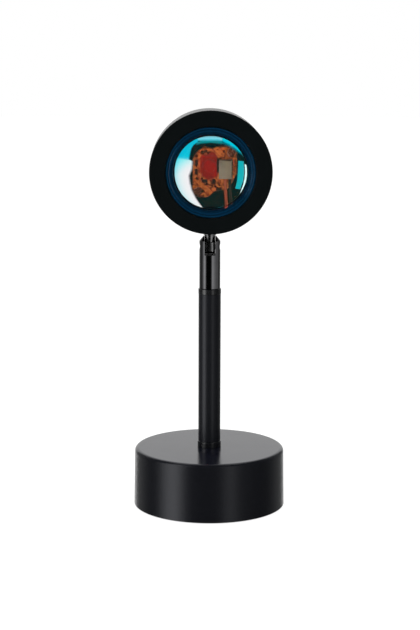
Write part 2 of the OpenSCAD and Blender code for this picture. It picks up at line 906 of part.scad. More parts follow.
module led_board() {
    color("#e9e4d6")
    on_head()
        difference() {
            board_plate(pad_face_s, board_t);
            at_board_screws()
                disc(board_screw[0] / 2 + slip_gap, pad_face_s - past, board_face_s + past);
        }
}

module led_emitter() {
    color("#d9d4c4")
    on_head()
        translate([0, 0, board_face_s]) {
            translate([-emitter_size.x / 2, -emitter_size.y / 2, 0])
                cube(emitter_size);
            ring(phosphor_d / 2 + dam_w, phosphor_d / 2, emitter_size.z - touch,
                emitter_size.z + dam_h);
        }
}

module phosphor_disc() {
    color("#e8b21c")
    on_head()
        disc(phosphor_d / 2 - 2 * touch, emitter_face_s, emitter_face_s + dam_h - slip_gap);
}

module board_chips() {
    color("#1d1d1f")
    on_head()
        for (chip = chips)
            translate([chip[0] - chip[2] / 2, chip[1] - chip[3] / 2, board_face_s])
                cube([chip[2], chip[3], chip_t]);
}

module lead_terminal() {
    color("#b9b4ac")
    on_head()
        difference() {
            translate([
                terminal_centre.x - terminal_size.x / 2,
                terminal_centre.y - terminal_size.y / 2, board_face_s
            ])
                cube(terminal_size);
            // sockets for the two leads, open downwards
            for (pad_x = lead_pads)
                translate([pad_x, pad_y + 3 * slip_gap, lead_z])
                    rotate([90, 0, 0])
                        cylinder(r = terminal_hole_r, h = terminal_size.y);
        }
}

module board_screws() {
    color("#b9bbc0")
    on_head()
        at_board_screws()
            translate([0, 0, board_face_s])
                screw(board_screw, board_t + thermal_pad_t + board_screw_bite);
}

module led_leads() {
    on_head() {
        color("#b02318")
            swept_tube(smooth_path(lead_route(lead_pads[0], -lead_x), 2), lead_d / 2, 8);
        color("#1a1a1c")
            swept_tube(smooth_path(lead_route(lead_pads[1], lead_x), 2), lead_d / 2, 8);
    }
}

base_shell();
counterweight();
bottom_plate();
plate_screws();
foot_pad();
cable_grommet();
cable_clamp();
clamp_screws();
inner_cable();
threaded_rod();
base_nut();
lock_washer();
base_washer();
lower_collar();
stem_tube();
upper_collar();
joint_fork();
pivot_screws();
joint_tongue();
neck_washer();
neck_nut();
head_barrel();
front_bezel();
lens();
lens_gasket();
light_tube();
heat_sink();
sink_screws();
thermal_pad();
led_board();
led_emitter();
phosphor_disc();
board_chips();
lead_terminal();
board_screws();
led_leads();
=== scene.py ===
"""Looks of a sunset projection lamp.

A weighted drum base with a powder coat carries a tube stem. A black chrome knuckle joint at
the top of the stem holds a round projector head, which has a coated dome lens in front and a
finned heat sink behind. Sizes in the classes are in millimetres, in the row frame: Z is up
and the lens looks along -Y.
"""

import logging
import math
from dataclasses import dataclass
from enum import Enum
from typing import Any, Callable, Optional, Sequence, Union

import bmesh
import bpy
from mathutils import Matrix, Vector

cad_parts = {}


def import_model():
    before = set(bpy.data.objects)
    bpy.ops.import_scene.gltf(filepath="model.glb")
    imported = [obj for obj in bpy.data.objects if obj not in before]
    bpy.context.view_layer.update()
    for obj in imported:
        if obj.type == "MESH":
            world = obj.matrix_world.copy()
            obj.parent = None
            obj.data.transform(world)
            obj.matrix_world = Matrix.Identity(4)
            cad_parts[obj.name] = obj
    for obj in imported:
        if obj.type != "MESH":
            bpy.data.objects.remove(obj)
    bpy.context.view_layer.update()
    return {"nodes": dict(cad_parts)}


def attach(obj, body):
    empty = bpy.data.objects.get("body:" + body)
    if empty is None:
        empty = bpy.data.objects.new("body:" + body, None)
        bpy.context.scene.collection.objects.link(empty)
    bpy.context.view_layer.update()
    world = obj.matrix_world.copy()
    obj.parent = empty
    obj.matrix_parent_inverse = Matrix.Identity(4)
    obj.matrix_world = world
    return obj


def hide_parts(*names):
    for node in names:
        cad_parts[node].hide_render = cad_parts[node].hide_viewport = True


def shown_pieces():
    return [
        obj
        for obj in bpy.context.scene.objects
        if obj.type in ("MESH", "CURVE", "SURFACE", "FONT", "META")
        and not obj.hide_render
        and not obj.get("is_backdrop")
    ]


LOG = logging.getLogger("lamp")
MM = 0.001
TINY = 1e-6
STRAIGHT = math.pi - 1e-3
FILLET_SHARE = 0.49
CREASE = 32.0
RIGHT_ANGLE = math.radians(90)
Colour = tuple[float, float, float]
Corner = tuple[float, float, float]
Spot = tuple[float, float]
Material = bpy.types.Material


class Body(Enum):
    """The two bodies that the joint connects."""

    STAND = "stand"
    HEAD = "head"


class Axis(Enum):
    """The local axis that a turned piece is drawn about, as placed in the row frame."""

    STEM = "stem"
    HEAD = "head"
    BACK = "back"
    ACROSS = "across"


class Receiver(Enum):
    """Which surfaces see a studio card."""

    LENS = "lens"
    JOINT = "joint"
    PAINT = "paint"


# ---- Meshes ----


def show(piece: bpy.types.Object) -> bpy.types.Object:
    """Puts an object in the scene and returns it."""
    bpy.context.scene.collection.objects.link(piece)
    return piece


def even_shading(piece: bpy.types.Object, weight: int = 50) -> None:
    """Shades a piece smoothly between the edges that are sharper than CREASE degrees."""
    for face in piece.data.polygons:
        face.use_smooth = True
    piece.data.set_sharp_from_angle(angle=math.radians(CREASE))
    even = piece.modifiers.new("even", "WEIGHTED_NORMAL")
    even.keep_sharp = True
    even.weight = weight


def rounded(corners: Sequence[Corner], steps: int = 5) -> list[Spot]:
    """Rounds the corners of a closed outline.

    Args:
        corners: The outline's corners as (radius, height, fillet).
        steps: How many stretches each rounded corner has.

    Returns:
        The outline's points as (radius, height).
    """
    points: list[Spot] = []
    count = len(corners)
    for i, (radius, height, fillet) in enumerate(corners):
        here = Vector((radius, height))
        to_last = Vector(corners[i - 1][:2]) - here
        to_next = Vector(corners[(i + 1) % count][:2]) - here
        turn = to_last.angle(to_next)
        if fillet <= 0 or turn > STRAIGHT:
            points.append((radius, height))
            continue
        reach = min(fillet / math.tan(turn / 2), FILLET_SHARE * min(to_last.length, to_next.length))
        size = reach * math.tan(turn / 2)
        first, last = to_last.normalized(), to_next.normalized()
        centre = here + (first + last).normalized() * (size / math.sin(turn / 2))
        start, end = here + first * reach - centre, here + last * reach - centre
        low = math.atan2(start.y, start.x)
        swing = (math.atan2(end.y, end.x) - low + math.pi) % (2 * math.pi) - math.pi
        for k in range(steps + 1):
            angle = low + swing * k / steps
            points.append((centre.x + size * math.cos(angle), centre.y + size * math.sin(angle)))
    return points


def set_on(axis: Axis, along: float = 0.0) -> Matrix:
    """Finds the place of a piece that is drawn about its local Z axis.

    Args:
        axis: The axis in the row frame that it goes on.
        along: The height of that axis, or for the stem the shift along it.

    Returns:
        The matrix from the piece's own millimetres to the row frame's.
    """
    turns = {
        Axis.STEM: Matrix.Identity(4),
        Axis.HEAD: Matrix.Rotation(RIGHT_ANGLE, 4, "X"),
        Axis.BACK: Matrix.Rotation(-RIGHT_ANGLE, 4, "X"),
        Axis.ACROSS: Matrix.Rotation(RIGHT_ANGLE, 4, "Y"),
    }
    return Matrix.Translation((0, 0, along)) @ turns[axis]


class Solid:
    """A mesh in the making, in millimetres of the row frame."""

    def __init__(self, name: str, mesh: bpy.types.Mesh) -> None:
        """Puts the mesh in the scene under its name."""
        self.piece = show(bpy.data.objects.new(name, mesh))

    @classmethod
    def _made(cls, name: str, shape: bmesh.types.BMesh, place: Matrix) -> "Solid":
        """Closes a bmesh into a solid at its place."""
        bmesh.ops.recalc_face_normals(shape, faces=shape.faces[:])
        mesh = bpy.data.meshes.new(name)
        shape.to_mesh(mesh)
        shape.free()
        mesh.transform(place)
        return cls(name, mesh)

    @classmethod
    def turned(
        cls,
        name: str,
        corners: Sequence[Corner],
        place: Matrix,
        segments: int = 160,
        steps: int = 5,
    ) -> "Solid":
        """Turns a closed outline about the local Z axis, as on a lathe.

        Args:
            name: The piece's name.
            corners: The outline's corners as (radius, height, fillet).
            place: Where the piece goes in the row frame.
            segments: How many faces go round.
            steps: How many stretches each rounded corner has.

        Returns:
            The turned solid.
        """
        shape = bmesh.new()
        spokes = [2 * math.pi * k / segments for k in range(segments)]
        rings = []
        for radius, height in rounded(corners, steps):
            if radius < TINY:
                rings.append([shape.verts.new((0, 0, height))] * segments)
                continue
            ring = [(radius * math.cos(a), radius * math.sin(a), height) for a in spokes]
            rings.append([shape.verts.new(point) for point in ring])
        for i, ring in enumerate(rings):
            above = rings[(i + 1) % len(rings)]
            if ring[0] is ring[1] and above[0] is above[1]:
                continue
            for k in range(segments):
                near = (k + 1) % segments
                loop = [ring[k], ring[near], above[near], above[k]]
                shape.faces.new(list(dict.fromkeys(loop)))
        return cls._made(name, shape, place)

    @classmethod
    def rod(
        cls, radius: float, low: float, high: float, place: Matrix, sides: int = 64
    ) -> "Solid":
        """Makes a plain round rod along the local Z axis, to cut with or to join."""
        outline = [(0, low, 0), (radius, low, 0), (radius, high, 0), (0, high, 0)]
        return cls.turned("rod", outline, place, segments=sides)

    @classmethod
    def block(cls, name: str, low: Corner, high: Corner, place: Matrix) -> "Solid":
        """Makes a block between two corners, in the local frame of its place."""
        shape = bmesh.new()
        bmesh.ops.create_cube(shape, size=1)
        for vert in shape.verts:
            vert.co = [low[i] + (vert.co[i] + 0.5) * (high[i] - low[i]) for i in range(3)]
        return cls._made(name, shape, place)

    @classmethod
    def plate(
        cls, name: str, corners: Sequence[Corner], low: float, high: float, place: Matrix
    ) -> "Solid":
        """Makes a flat plate from an outline.

        Args:
            name: The piece's name.
            corners: The outline's corners as (across, up, fillet), against the clock.
            low: Where the plate begins along the local Z axis.
            high: Where it ends.
            place: Where the piece goes in the row frame.

        Returns:
            The plate.
        """
        shape = bmesh.new()
        outline = rounded(corners, 6)
        foot = [shape.verts.new((x, y, low)) for x, y in outline]
        top = [shape.verts.new((x, y, high)) for x, y in outline]
        shape.faces.new(foot)
        shape.faces.new(top)
        for k in range(len(outline)):
            near = (k + 1) % len(outline)
            shape.faces.new([foot[k], foot[near], top[near], top[k]])
        return cls._made(name, shape, place)

    def _settle(self) -> None:
        """Turns the modifiers into plain mesh."""
        graph = bpy.context.evaluated_depsgraph_get()
        mesh = bpy.data.meshes.new_from_object(self.piece.evaluated_get(graph))
        self.piece.modifiers.clear()
        self.piece.data = mesh

    def _boolean(self, operation: str, others: Sequence["Solid"]) -> "Solid":
        """Cuts or joins with other solids, which are used up."""
        for other in others:
            step = self.piece.modifiers.new("step", "BOOLEAN")
            step.operation = operation
            step.solver = "EXACT"
            step.object = other.piece
            self._settle()
            bpy.data.objects.remove(other.piece)
        return self

    def cut(self, *tools: "Solid") -> "Solid":
        """Cuts the tools' shapes out of this solid."""
        return self._boolean("DIFFERENCE", tools)

    def fuse(self, *parts: "Solid") -> "Solid":
        """Makes one solid of this one and the others."""
        return self._boolean("UNION", parts)

    def trim(self, *parts: "Solid") -> "Solid":
        """Keeps only what lies inside the others."""
        return self._boolean("INTERSECT", parts)

    def soften(self, width: float, angle: float) -> "Solid":
        """Rounds every edge that is sharper than the angle."""
        step = self.piece.modifiers.new("edge", "BEVEL")
        step.width = width
        step.segments = 2
        step.limit_method = "ANGLE"
        step.angle_limit = math.radians(angle)
        step.use_clamp_overlap = True
        step.harden_normals = False
        self._settle()
        return self

    def add(self, *others: "Solid") -> "Solid":
        """Adds separate solids to this piece without joining their surfaces."""
        shape = bmesh.new()
        shape.from_mesh(self.piece.data)
        for other in others:
            shape.from_mesh(other.piece.data)
            bpy.data.objects.remove(other.piece)
        shape.to_mesh(self.piece.data)
        shape.free()
        return self

    def ready(
        self,
        body: Body,
        materials: Sequence[Material],
        slot: str,
        stands_for: Sequence[str] = (),
        rule: Optional[Callable[[Vector, Vector], int]] = None,
    ) -> None:
        """Finishes the piece: metres, shading, materials and what it rides on.

        Args:
            body: The body it moves with.
            materials: Its materials.
            slot: The name of its material slot, which is not used.
            stands_for: The CAD nodes it replaces.
            rule: Picks the material of a face from its centre and normal.
        """
        mesh = self.piece.data
        for material in materials:
            mesh.materials.append(material)
        if rule:
            for face in mesh.polygons:
                face.material_index = rule(face.center, face.normal)
        mesh.transform(Matrix.Scale(MM, 4))
        even_shading(self.piece, weight=100)
        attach(self.piece, body.value)
        if stands_for:
            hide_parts(*stands_for)
        LOG.info("%s: %d faces", self.piece.name, len(mesh.polygons))


# ---- Shader nodes ----

Value = Union[float, "Val"]


class Val:
    """A shader socket that takes part in Python sums."""

    def __init__(self, sheet: "Sheet", socket: bpy.types.NodeSocket) -> None:
        """Keeps the socket and the sheet it is on."""
        self.sheet = sheet
        self.socket = socket

    def _math(self, operation: str, first: Value, second: Value) -> "Val":
        """Adds a Math node on two values."""
        return self.sheet.node("ShaderNodeMath", {"operation": operation}, {0: first, 1: second})

    def __add__(self, other: Value) -> "Val":
        """Adds."""
        return self._math("ADD", self, other)

    def __radd__(self, other: Value) -> "Val":
        """Adds, from the right."""
        return self._math("ADD", other, self)

    def __sub__(self, other: Value) -> "Val":
        """Subtracts."""
        return self._math("SUBTRACT", self, other)

    def __rsub__(self, other: Value) -> "Val":
        """Subtracts from a number."""
        return self._math("SUBTRACT", other, self)

    def __mul__(self, other: Value) -> "Val":
        """Multiplies."""
        return self._math("MULTIPLY", self, other)

    def __rmul__(self, other: Value) -> "Val":
        """Multiplies, from the right."""
        return self._math("MULTIPLY", other, self)

    def __or__(self, other: Value) -> "Val":
        """Takes the larger of the two."""
        return self._math("MAXIMUM", self, other)

    def step(self, low: float, high: float) -> "Val":
        """Goes smoothly from 0 at low to 1 at high."""
        return self.sheet.node(
            "ShaderNodeMapRange",
            {"interpolation_type": "SMOOTHSTEP"},
            {"Value": self, "From Min": low, "From Max": high},
        )

    def root(self) -> "Val":
        """Takes the square root."""
        return self.sheet.node("ShaderNodeMath", {"operation": "SQRT"}, {0: self})

    def sine(self, pitch: float, start: float = 0.0) -> "Val":
        """Takes the sine of a wave along this value, whose length is the pitch."""
        turn = self * (2 * math.pi / pitch) + start
        return self.sheet.node("ShaderNodeMath", {"operation": "SINE"}, {0: turn})

    def lines(self, pitch: float, start: float = 0.0) -> "Val":
        """Makes waves from 0 to 1 along this value, whose length is the pitch."""
        return self.sine(pitch, start) * 0.5 + 0.5


class Sheet:
    """The node tree of one material, with its output."""

    def __init__(self, name: str) -> None:
        """Starts an empty material."""
        self.material = bpy.data.materials.new(name)
        self.material.use_nodes = True
        self.tree = self.material.node_tree
        self.tree.nodes.clear()
        self.output = self.tree.nodes.new("ShaderNodeOutputMaterial")

    def add(
        self, kind: str, settings: dict[str, Any], sockets: dict[Union[int, str], Any]
    ) -> bpy.types.Node:
        """Adds a node.

        Args:
            kind: The node's type.
            settings: Its settings, set first; "stops" are a ramp's (place, colour) pairs.
            sockets: The values or links of its inputs.

        Returns:
            The node.
        """
        made = self.tree.nodes.new(kind)
        for key, setting in settings.items():
            if key == "stops":
                self._set_stops(made.color_ramp, setting)
            else:
                setattr(made, key, setting)
        for key, given in sockets.items():
            source = given.socket if isinstance(given, Val) else given
            if isinstance(source, bpy.types.NodeSocket):
                self.tree.links.new(source, made.inputs[key])
            elif isinstance(source, tuple) and made.inputs[key].type == "RGBA":
                made.inputs[key].default_value = (*source[:3], 1)
            else:
                made.inputs[key].default_value = source
        return made

    @staticmethod
    def _set_stops(ramp: bpy.types.ColorRamp, stops: Sequence[tuple[float, Colour]]) -> None:
        """Sets the stops of a colour ramp."""
        while len(ramp.elements) < len(stops):
            ramp.elements.new(0.5)
        for element, (place, colour) in zip(ramp.elements, stops):
            element.position = place
            element.color = (*colour, 1)

    def node(
        self,
        kind: str,
        settings: dict[str, Any],
        sockets: dict[Union[int, str], Any],
        out: Union[int, str] = 0,
    ) -> Val:
        """Adds a node as add does and returns one of its outputs."""
        return Val(self, self.add(kind, settings, sockets).outputs[out])

    def place(self) -> Val:
        """Returns the object's own coordinates, in metres."""
        return self.node("ShaderNodeTexCoord", {}, {}, "Object")

    def axes(self, vector: Val) -> tuple[Val, Val, Val]:
        """Splits a vector in its three numbers."""
        split = self.add("ShaderNodeSeparateXYZ", {}, {0: vector})
        across, along, up = [Val(self, split.outputs[k]) for k in range(3)]
        return across, along, up

    def noise(self, size: float, detail: float, rough: float = 0.5) -> Val:
        """Makes a noise.

        Args:
            size: The size of its grains in millimetres.
            detail: How many finer layers it has.
            rough: How strong these are.

        Returns:
            The noise, from 0 to 1.
        """
        return self.node(
            "ShaderNodeTexNoise",
            {"noise_dimensions": "3D"},
            {
                "Vector": self.place(),
                "Scale": 1 / (size * MM),
                "Detail": detail,
                "Roughness": rough,
            },
        )

    def cells(self, size: float) -> Val:
        """Makes a cell pattern of the given size in millimetres."""
        sockets = {"Vector": self.place(), "Scale": 1 / (size * MM)}
        return self.node("ShaderNodeTexVoronoi", {"feature": "F1"}, sockets)

    def ramp(self, value: Val, stops: Sequence[tuple[float, Colour]]) -> Val:
        """Turns a value into a colour."""
        return self.node("ShaderNodeValToRGB", {"stops": stops}, {0: value})

    def mixed(self, share: Value, first: Union[Colour, Val], second: Union[Colour, Val]) -> Val:
        """Mixes two colours: share 0 gives the first."""
        sockets = {0: share, 6: first, 7: second}
        return self.node("ShaderNodeMix", {"data_type": "RGBA"}, sockets, 2)

    def bump(self, height: Val, depth: float) -> Val:
        """Makes a normal from a height whose 1 stands for the depth in millimetres."""
        sockets = {"Strength": 1.0, "Distance": depth * MM, "Height": height}
        return self.node("ShaderNodeBump", {}, sockets)

    def surface(self, **sockets: Any) -> Material:
        """Makes the material a Principled one with these inputs and returns it."""
        named = {key.replace("_", " "): given for key, given in sockets.items()}
        shader = self.add("ShaderNodeBsdfPrincipled", {}, named)
        return self.shown(shader.outputs[0])

    def shown(self, shader: bpy.types.NodeSocket) -> Material:
        """Shows this shader and returns the material."""
        self.tree.links.new(shader, self.output.inputs[0])
        return self.material


# ---- Finishes ----


def level(amount: float, tint: Colour = (1.0, 1.0, 1.0)) -> Colour:
    """Scales a tint."""
    return tint[0] * amount, tint[1] * amount, tint[2] * amount


@dataclass(frozen=True)
class PowderCoat:
    """Black powder coat: a sand texture on the walls, smoother on a flat top, which also gets a painted
    bluish sheen.
    """

    name: str
    colour: Colour = (0.0047, 0.005, 0.0072)
    # a bluer colour for the flat top: a painted sheen that stands in for its bluish reflection
    painted_top_sheen: Colour = (0.0045, 0.005, 0.011)
    grain: float = 0.55
    depth: float = 0.06
    rough: float = 0.24
    smooth_above: float = 1e3
    top_rough: float = 0.2
    top_fade: Spot = (-0.4, -0.1)

    def material(self) -> Material:
        """Makes the material."""
        sheet = Sheet(self.name)
        height = sheet.axes(sheet.place())[2]
        top = height.step(*[(self.smooth_above + fade) * MM for fade in self.top_fade])
        sand = sheet.noise(self.grain, 3, 0.62)
        lumps = sheet.cells(self.grain * 1.6)
        relief = (sand * 0.7 + lumps * 0.45) * (1 - top * 0.86)
        patch = sheet.noise(14, 2)
        worn = sheet.mixed(sand * 0.5 + patch * 0.25, self.colour, level(1.7, self.colour))
        # painted sheen: the flat top takes a bluer colour than the walls
        shade = sheet.mixed(top, worn, self.painted_top_sheen)
        wall = self.rough + (sand - 0.5) * 0.16
        rough = wall * (1 - top) + (self.top_rough + (patch - 0.5) * 0.05) * top
        return sheet.surface(
            Base_Color=shade, Roughness=rough, IOR=1.5, Specular_Tint=(0.93, 0.945, 1.0),
            Normal=sheet.bump(relief, self.depth),
        )


@dataclass(frozen=True)
class GlossPaint:
    """Smooth black lacquer with faint orange peel."""

    name: str
    colour: Colour = (0.004, 0.0043, 0.0055)
    rough: float = 0.16
    peel: float = 1.4

    def material(self) -> Material:
        """Makes the material."""
        sheet = Sheet(self.name)
        peel = sheet.noise(self.peel, 1)
        haze = sheet.noise(6, 3)
        return sheet.surface(
            Base_Color=sheet.mixed(haze, self.colour, level(1.5, self.colour)),
            Roughness=self.rough + haze * 0.06, IOR=1.8, Normal=sheet.bump(peel, 0.006),
        )


@dataclass(frozen=True)
class Anodised:
    """Satin black anodised aluminium: a fine blasted grain with faint turning lines."""

    name: str
    colour: Colour = (0.002, 0.0034, 0.0038)
    rough: float = 0.3
    grain: float = 0.28
    line: float = 0.3

    def material(self) -> Material:
        """Makes the material."""
        sheet = Sheet(self.name)
        grain = sheet.noise(self.grain, 2, 0.6)
        cloud = sheet.noise(9, 3)
        lines = sheet.axes(sheet.place())[1].lines(self.line * MM)
        return sheet.surface(
            Base_Color=sheet.mixed(cloud, self.colour, level(1.6, self.colour)),
            Roughness=self.rough + (grain - 0.5) * 0.1, IOR=1.35,
            Normal=sheet.bump(grain * 0.8 + lines * 0.12, 0.008),
        )


@dataclass(frozen=True)
class Plated:
    """Plated or bare metal, with turning lines, a faint haze and tiny pits."""

    name: str
    colour: Colour = (0.05, 0.05, 0.052)
    rough: float = 0.12
    line: float = 0.22
    haze: float = 0.05
    relief: float = 0.0022

    def material(self) -> Material:
        """Makes the material."""
        sheet = Sheet(self.name)
        cloud = sheet.noise(4, 3)
        pits = sheet.cells(0.5)
        lines = sheet.axes(sheet.place())[2].lines(self.line * MM)
        return sheet.surface(
            Base_Color=sheet.mixed(cloud, level(0.8, self.colour), level(1.15, self.colour)),
            Metallic=1.0, Roughness=self.rough + (cloud - 0.5) * 2 * self.haze,
            Normal=sheet.bump(lines + pits * 0.5, self.relief),
        )


@dataclass(frozen=True)
class Moulded:
    """A matt skin with a fine grain: rubber, plastic, silicone, ceramic or a milled floor."""

    name: str
    colour: Colour
    rough: float = 0.55
    grain: float = 0.4
    depth: float = 0.01
    mottle: float = 1.35

    def material(self) -> Material:
        """Makes the material."""
        sheet = Sheet(self.name)
        grain = sheet.noise(self.grain, 3, 0.6)
        cloud = sheet.noise(5, 2)
        share = cloud * 0.6 + grain * 0.4
        return sheet.surface(
            Base_Color=sheet.mixed(share, self.colour, level(self.mottle, self.colour)),
            Roughness=self.rough + (grain - 0.5) * 0.15, Normal=sheet.bump(grain, self.depth),
        )


@dataclass(frozen=True)
class CastIron:
    """Rough cast iron with rust specks in its pits."""

    name: str

    def material(self) -> Material:
        """Makes the material."""
        sheet = Sheet(self.name)
        skin = sheet.noise(0.9, 4, 0.65)
        rust = sheet.noise(5, 4).step(0.56, 0.7)
        shade = sheet.mixed(rust, (0.07, 0.07, 0.072), (0.13, 0.06, 0.03))
        return sheet.surface(
            Base_Color=shade, Metallic=0.6 * (1 - rust), Roughness=0.55 + rust * 0.3,
            Normal=sheet.bump(skin, 0.12),
        )


@dataclass(frozen=True)
class CircuitBoard:
    """The lamp's board: solder mask browned by heat and flux, and a painted red glow round the light
    source.

    A painted shade darkens the board in the gap between the light source and the terminal.
    """

    name: str
    axis_z: float
    run_pitch: float = 2.9
    # the radii of the painted red glow and its tint, then the painted shade's tint
    glow: Spot = (4.4, 3.2)
    painted_glow_tint: Colour = (0.34, 0.02, 0.016)
    painted_gap_shade: Colour = (0.004, 0.003, 0.003)

    def material(self) -> Material:
        """Makes the material."""
        sheet = Sheet(self.name)
        flux = sheet.noise(2.6, 4, 0.62)
        specks = sheet.noise(1.5, 3, 0.7).step(0.55, 0.6)
        mask = sheet.ramp(
            flux,
            [
                (0.3, (0.16, 0.06, 0.02)), (0.45, (0.55, 0.24, 0.06)), (0.56, (0.85, 0.42, 0.12)),
                (0.7, (0.62, 0.2, 0.08)),
            ],
        )
        across, _, up = sheet.axes(sheet.place())
        runs = (across + up).sine(self.run_pitch * MM).step(0.72, 0.86)
        copper = sheet.mixed(runs * 0.7, mask, (0.32, 0.09, 0.05))
        spotted = sheet.mixed(specks * 0.85, copper, (0.035, 0.03, 0.014))
        x, y = across * (1 / MM), up * (1 / MM) - self.axis_z
        wavy = (flux - 0.5) * 3.5
        out = (x * x + y * y * 0.6).root() + wavy
        # painted glow: a red pool round the light source, painted into the board's colour
        lit = sheet.mixed(out.step(*self.glow), spotted, self.painted_glow_tint)
        # painted shade: a dark patch on the board between the light source and the terminal
        edge = y + wavy * 0.3
        gap = x.step(2.3, 2.7) * x.step(4.3, 4.0) * edge.step(-2.6, -2.0) * edge.step(3.2, 2.4)
        return sheet.surface(
            Base_Color=sheet.mixed(gap, lit, self.painted_gap_shade), Roughness=0.32 + flux * 0.25,
            Normal=sheet.bump(flux + runs * 0.6, 0.03),
        )


@dataclass(frozen=True)
class Phosphor:
    """The light-emitting disc's silicone, with a fine granular glow colour."""

    name: str
    colour: Colour = (0.5, 0.006, 0.005)

    def material(self) -> Material:
        """Makes the material."""
        sheet = Sheet(self.name)
        grain = sheet.noise(0.35, 3, 0.7)
        shade = sheet.mixed(grain, self.colour, (0.3, 0.003, 0.003))
        return sheet.surface(
            Base_Color=shade, Roughness=0.28 + grain * 0.15, Normal=sheet.bump(grain, 0.015),
        )


@dataclass(frozen=True)
class Sheath:
    """The two leads' sheaths: red left of a line that follows them, black right of it.

    The line lies on the stem's axis below the bend and beside it above.
    """

    name: str
    split: float = 6.4
    bend: Spot = (194.0, 206.0)

    def material(self) -> Material:
        """Makes the material."""
        sheet = Sheet(self.name)
        across, _, up = sheet.axes(sheet.place())
        middle = up.step(*[height * MM for height in self.bend]) * (self.split * MM)
        black = (across - middle).step(-0.1 * MM, 0.1 * MM)
        scuff = sheet.noise(0.8, 3)
        red = sheet.mixed(scuff, (0.36, 0.15, 0.12), (0.5, 0.2, 0.15))
        shade = sheet.mixed(black, red, (0.02, 0.03, 0.03))
        return sheet.surface(
            Base_Color=shade, Roughness=0.4 + scuff * 0.15, Normal=sheet.bump(scuff, 0.01)
        )


@dataclass(frozen=True)
class CoatedDome:
    """Glass with a dichroic coat: it mirrors cyan and lets orange through."""

    name: str
    mirror: Colour = (0.02, 0.86, 1.0)
    through: Colour = (1.0, 0.46, 0.25)
    share: float = 0.6
    bend: float = 1.42

    def material(self) -> Material:
        """Makes the material."""
        sheet = Sheet(self.name)
        swirl = sheet.noise(11, 2)
        tone = sheet.mixed(swirl, self.mirror, (0.018, 0.9, 0.94))
        ripple = sheet.bump(swirl, 0.004)
        mirror = sheet.node(
            "ShaderNodeBsdfGlossy", {}, {"Color": tone, "Roughness": 0.03, "Normal": ripple}
        )
        glass = sheet.node(
            "ShaderNodeBsdfRefraction", {},
            {"Color": self.through, "Roughness": 0.0, "IOR": self.bend, "Normal": ripple},
        )
        return sheet.shown(
            sheet.node("ShaderNodeMixShader", {}, {0: 1 - self.share, 1: mirror, 2: glass}).socket
        )


@dataclass(frozen=True)
class ClearGlass:
    """The lens's plain back."""

    name: str

    def material(self) -> Material:
        """Makes the material."""
        sheet = Sheet(self.name)
        wave = sheet.bump(sheet.noise(9, 1), 0.002)
        return sheet.shown(
            sheet.node(
                "ShaderNodeBsdfGlass", {},
                {"Color": (0.96, 0.98, 0.97), "Roughness": 0.0, "IOR": 1.42, "Normal": wave},
            ).socket
        )


@dataclass(frozen=True)
class CoatedRim:
    """The lens's flange: the coat over a dark frosted back looks deep blue, in faint rings."""

    name: str
    centre_z: float
    deep: Colour = (0.002, 0.016, 0.045)
    bright: Colour = (0.004, 0.04, 0.11)
    pitch: float = 1.7

    def material(self) -> Material:
        """Makes the material."""
        sheet = Sheet(self.name)
        across, _, up = sheet.axes(sheet.place())
        up = (up - self.centre_z * MM) * (1 / MM)
        across = across * (1 / MM)
        waves = (across * across + up * up).root().lines(self.pitch, 0.9)
        cloud = sheet.noise(8, 2)
        lit = (waves * 0.75 + cloud * 0.35).step(0.2, 0.95)
        return sheet.surface(
            Base_Color=sheet.mixed(lit, self.deep, self.bright), Roughness=0.1 + cloud * 0.05,
            IOR=2.9, Specular_Tint=(0.012, 0.75, 1.0), Normal=sheet.bump(cloud, 0.004),
        )


class Palette:
    """Every finish of the lamp, made once."""

    def __init__(self, head_z: float, top_z: float) -> None:
        """Makes the materials.

        Args:
            head_z: The height of the head's axis.
            top_z: The height of the base's top face.
        """
        self.base_coat = PowderCoat("base_powder_coat", smooth_above=top_z).material()
        self.stem_coat = PowderCoat(
            "stem_powder_coat", colour=(0.0065, 0.0069, 0.009), grain=0.45, depth=0.05, rough=0.3
        ).material()
        self.gloss = GlossPaint("gloss_black_paint").material()
        self.chrome = Plated("black_chrome_plate").material()
        # the slot's floor: dark and matt, a painted shade in the fork's recess
        self.slot_floor = Moulded("painted_shade_slot_floor", (0.014, 0.014, 0.014), 0.75).material()
        self.tongue_chrome = Plated("tongue_chrome_plate", (0.075, 0.075, 0.076), 0.26).material()
        self.anodised = Anodised("matt_black_anodised").material()
        self.zinc = Plated("zinc_plate", (0.55, 0.56, 0.58), 0.28, haze=0.08).material()
        self.black_steel = Plated("blackened_steel", (0.03, 0.03, 0.032), 0.3).material()
        self.iron = CastIron("cast_iron_skin").material()
        self.rubber = Moulded(
            "black_rubber_skin", (0.009, 0.009, 0.0095), 0.68, depth=0.03
        ).material()
        self.plastic = Moulded("black_plastic_skin", (0.006, 0.0065, 0.0065), 0.5).material()
        self.silicone = Moulded("grey_silicone_skin", (0.05, 0.05, 0.052), 0.6).material()
        self.ceramic = Moulded(
            "red_glow_ceramic", (0.3, 0.004, 0.004), 0.35, depth=0.012, mottle=1.4
        ).material()
        self.dark_ceramic = Moulded("dark_chip_ceramic", (0.012, 0.012, 0.012), 0.3).material()
        self.terminal = Moulded(
            "grey_terminal_plastic", (0.18, 0.32, 0.4), 0.4, mottle=1.7
        ).material()
        self.board = CircuitBoard("browned_board_painted_glow_shade", head_z).material()
        self.phosphor = Phosphor("phosphor_silicone").material()
        self.sheath = Sheath("lead_sheaths").material()
        self.solder = Plated(
            "dull_solder", (0.6, 0.56, 0.5), 0.22, haze=0.1, relief=0.01
        ).material()
        self.dome = CoatedDome("coated_dome_glass").material()
        self.glass = ClearGlass("clear_back_glass").material()
        self.rim = CoatedRim("coated_rim_glass", head_z).material()


# ---- The lamp ----


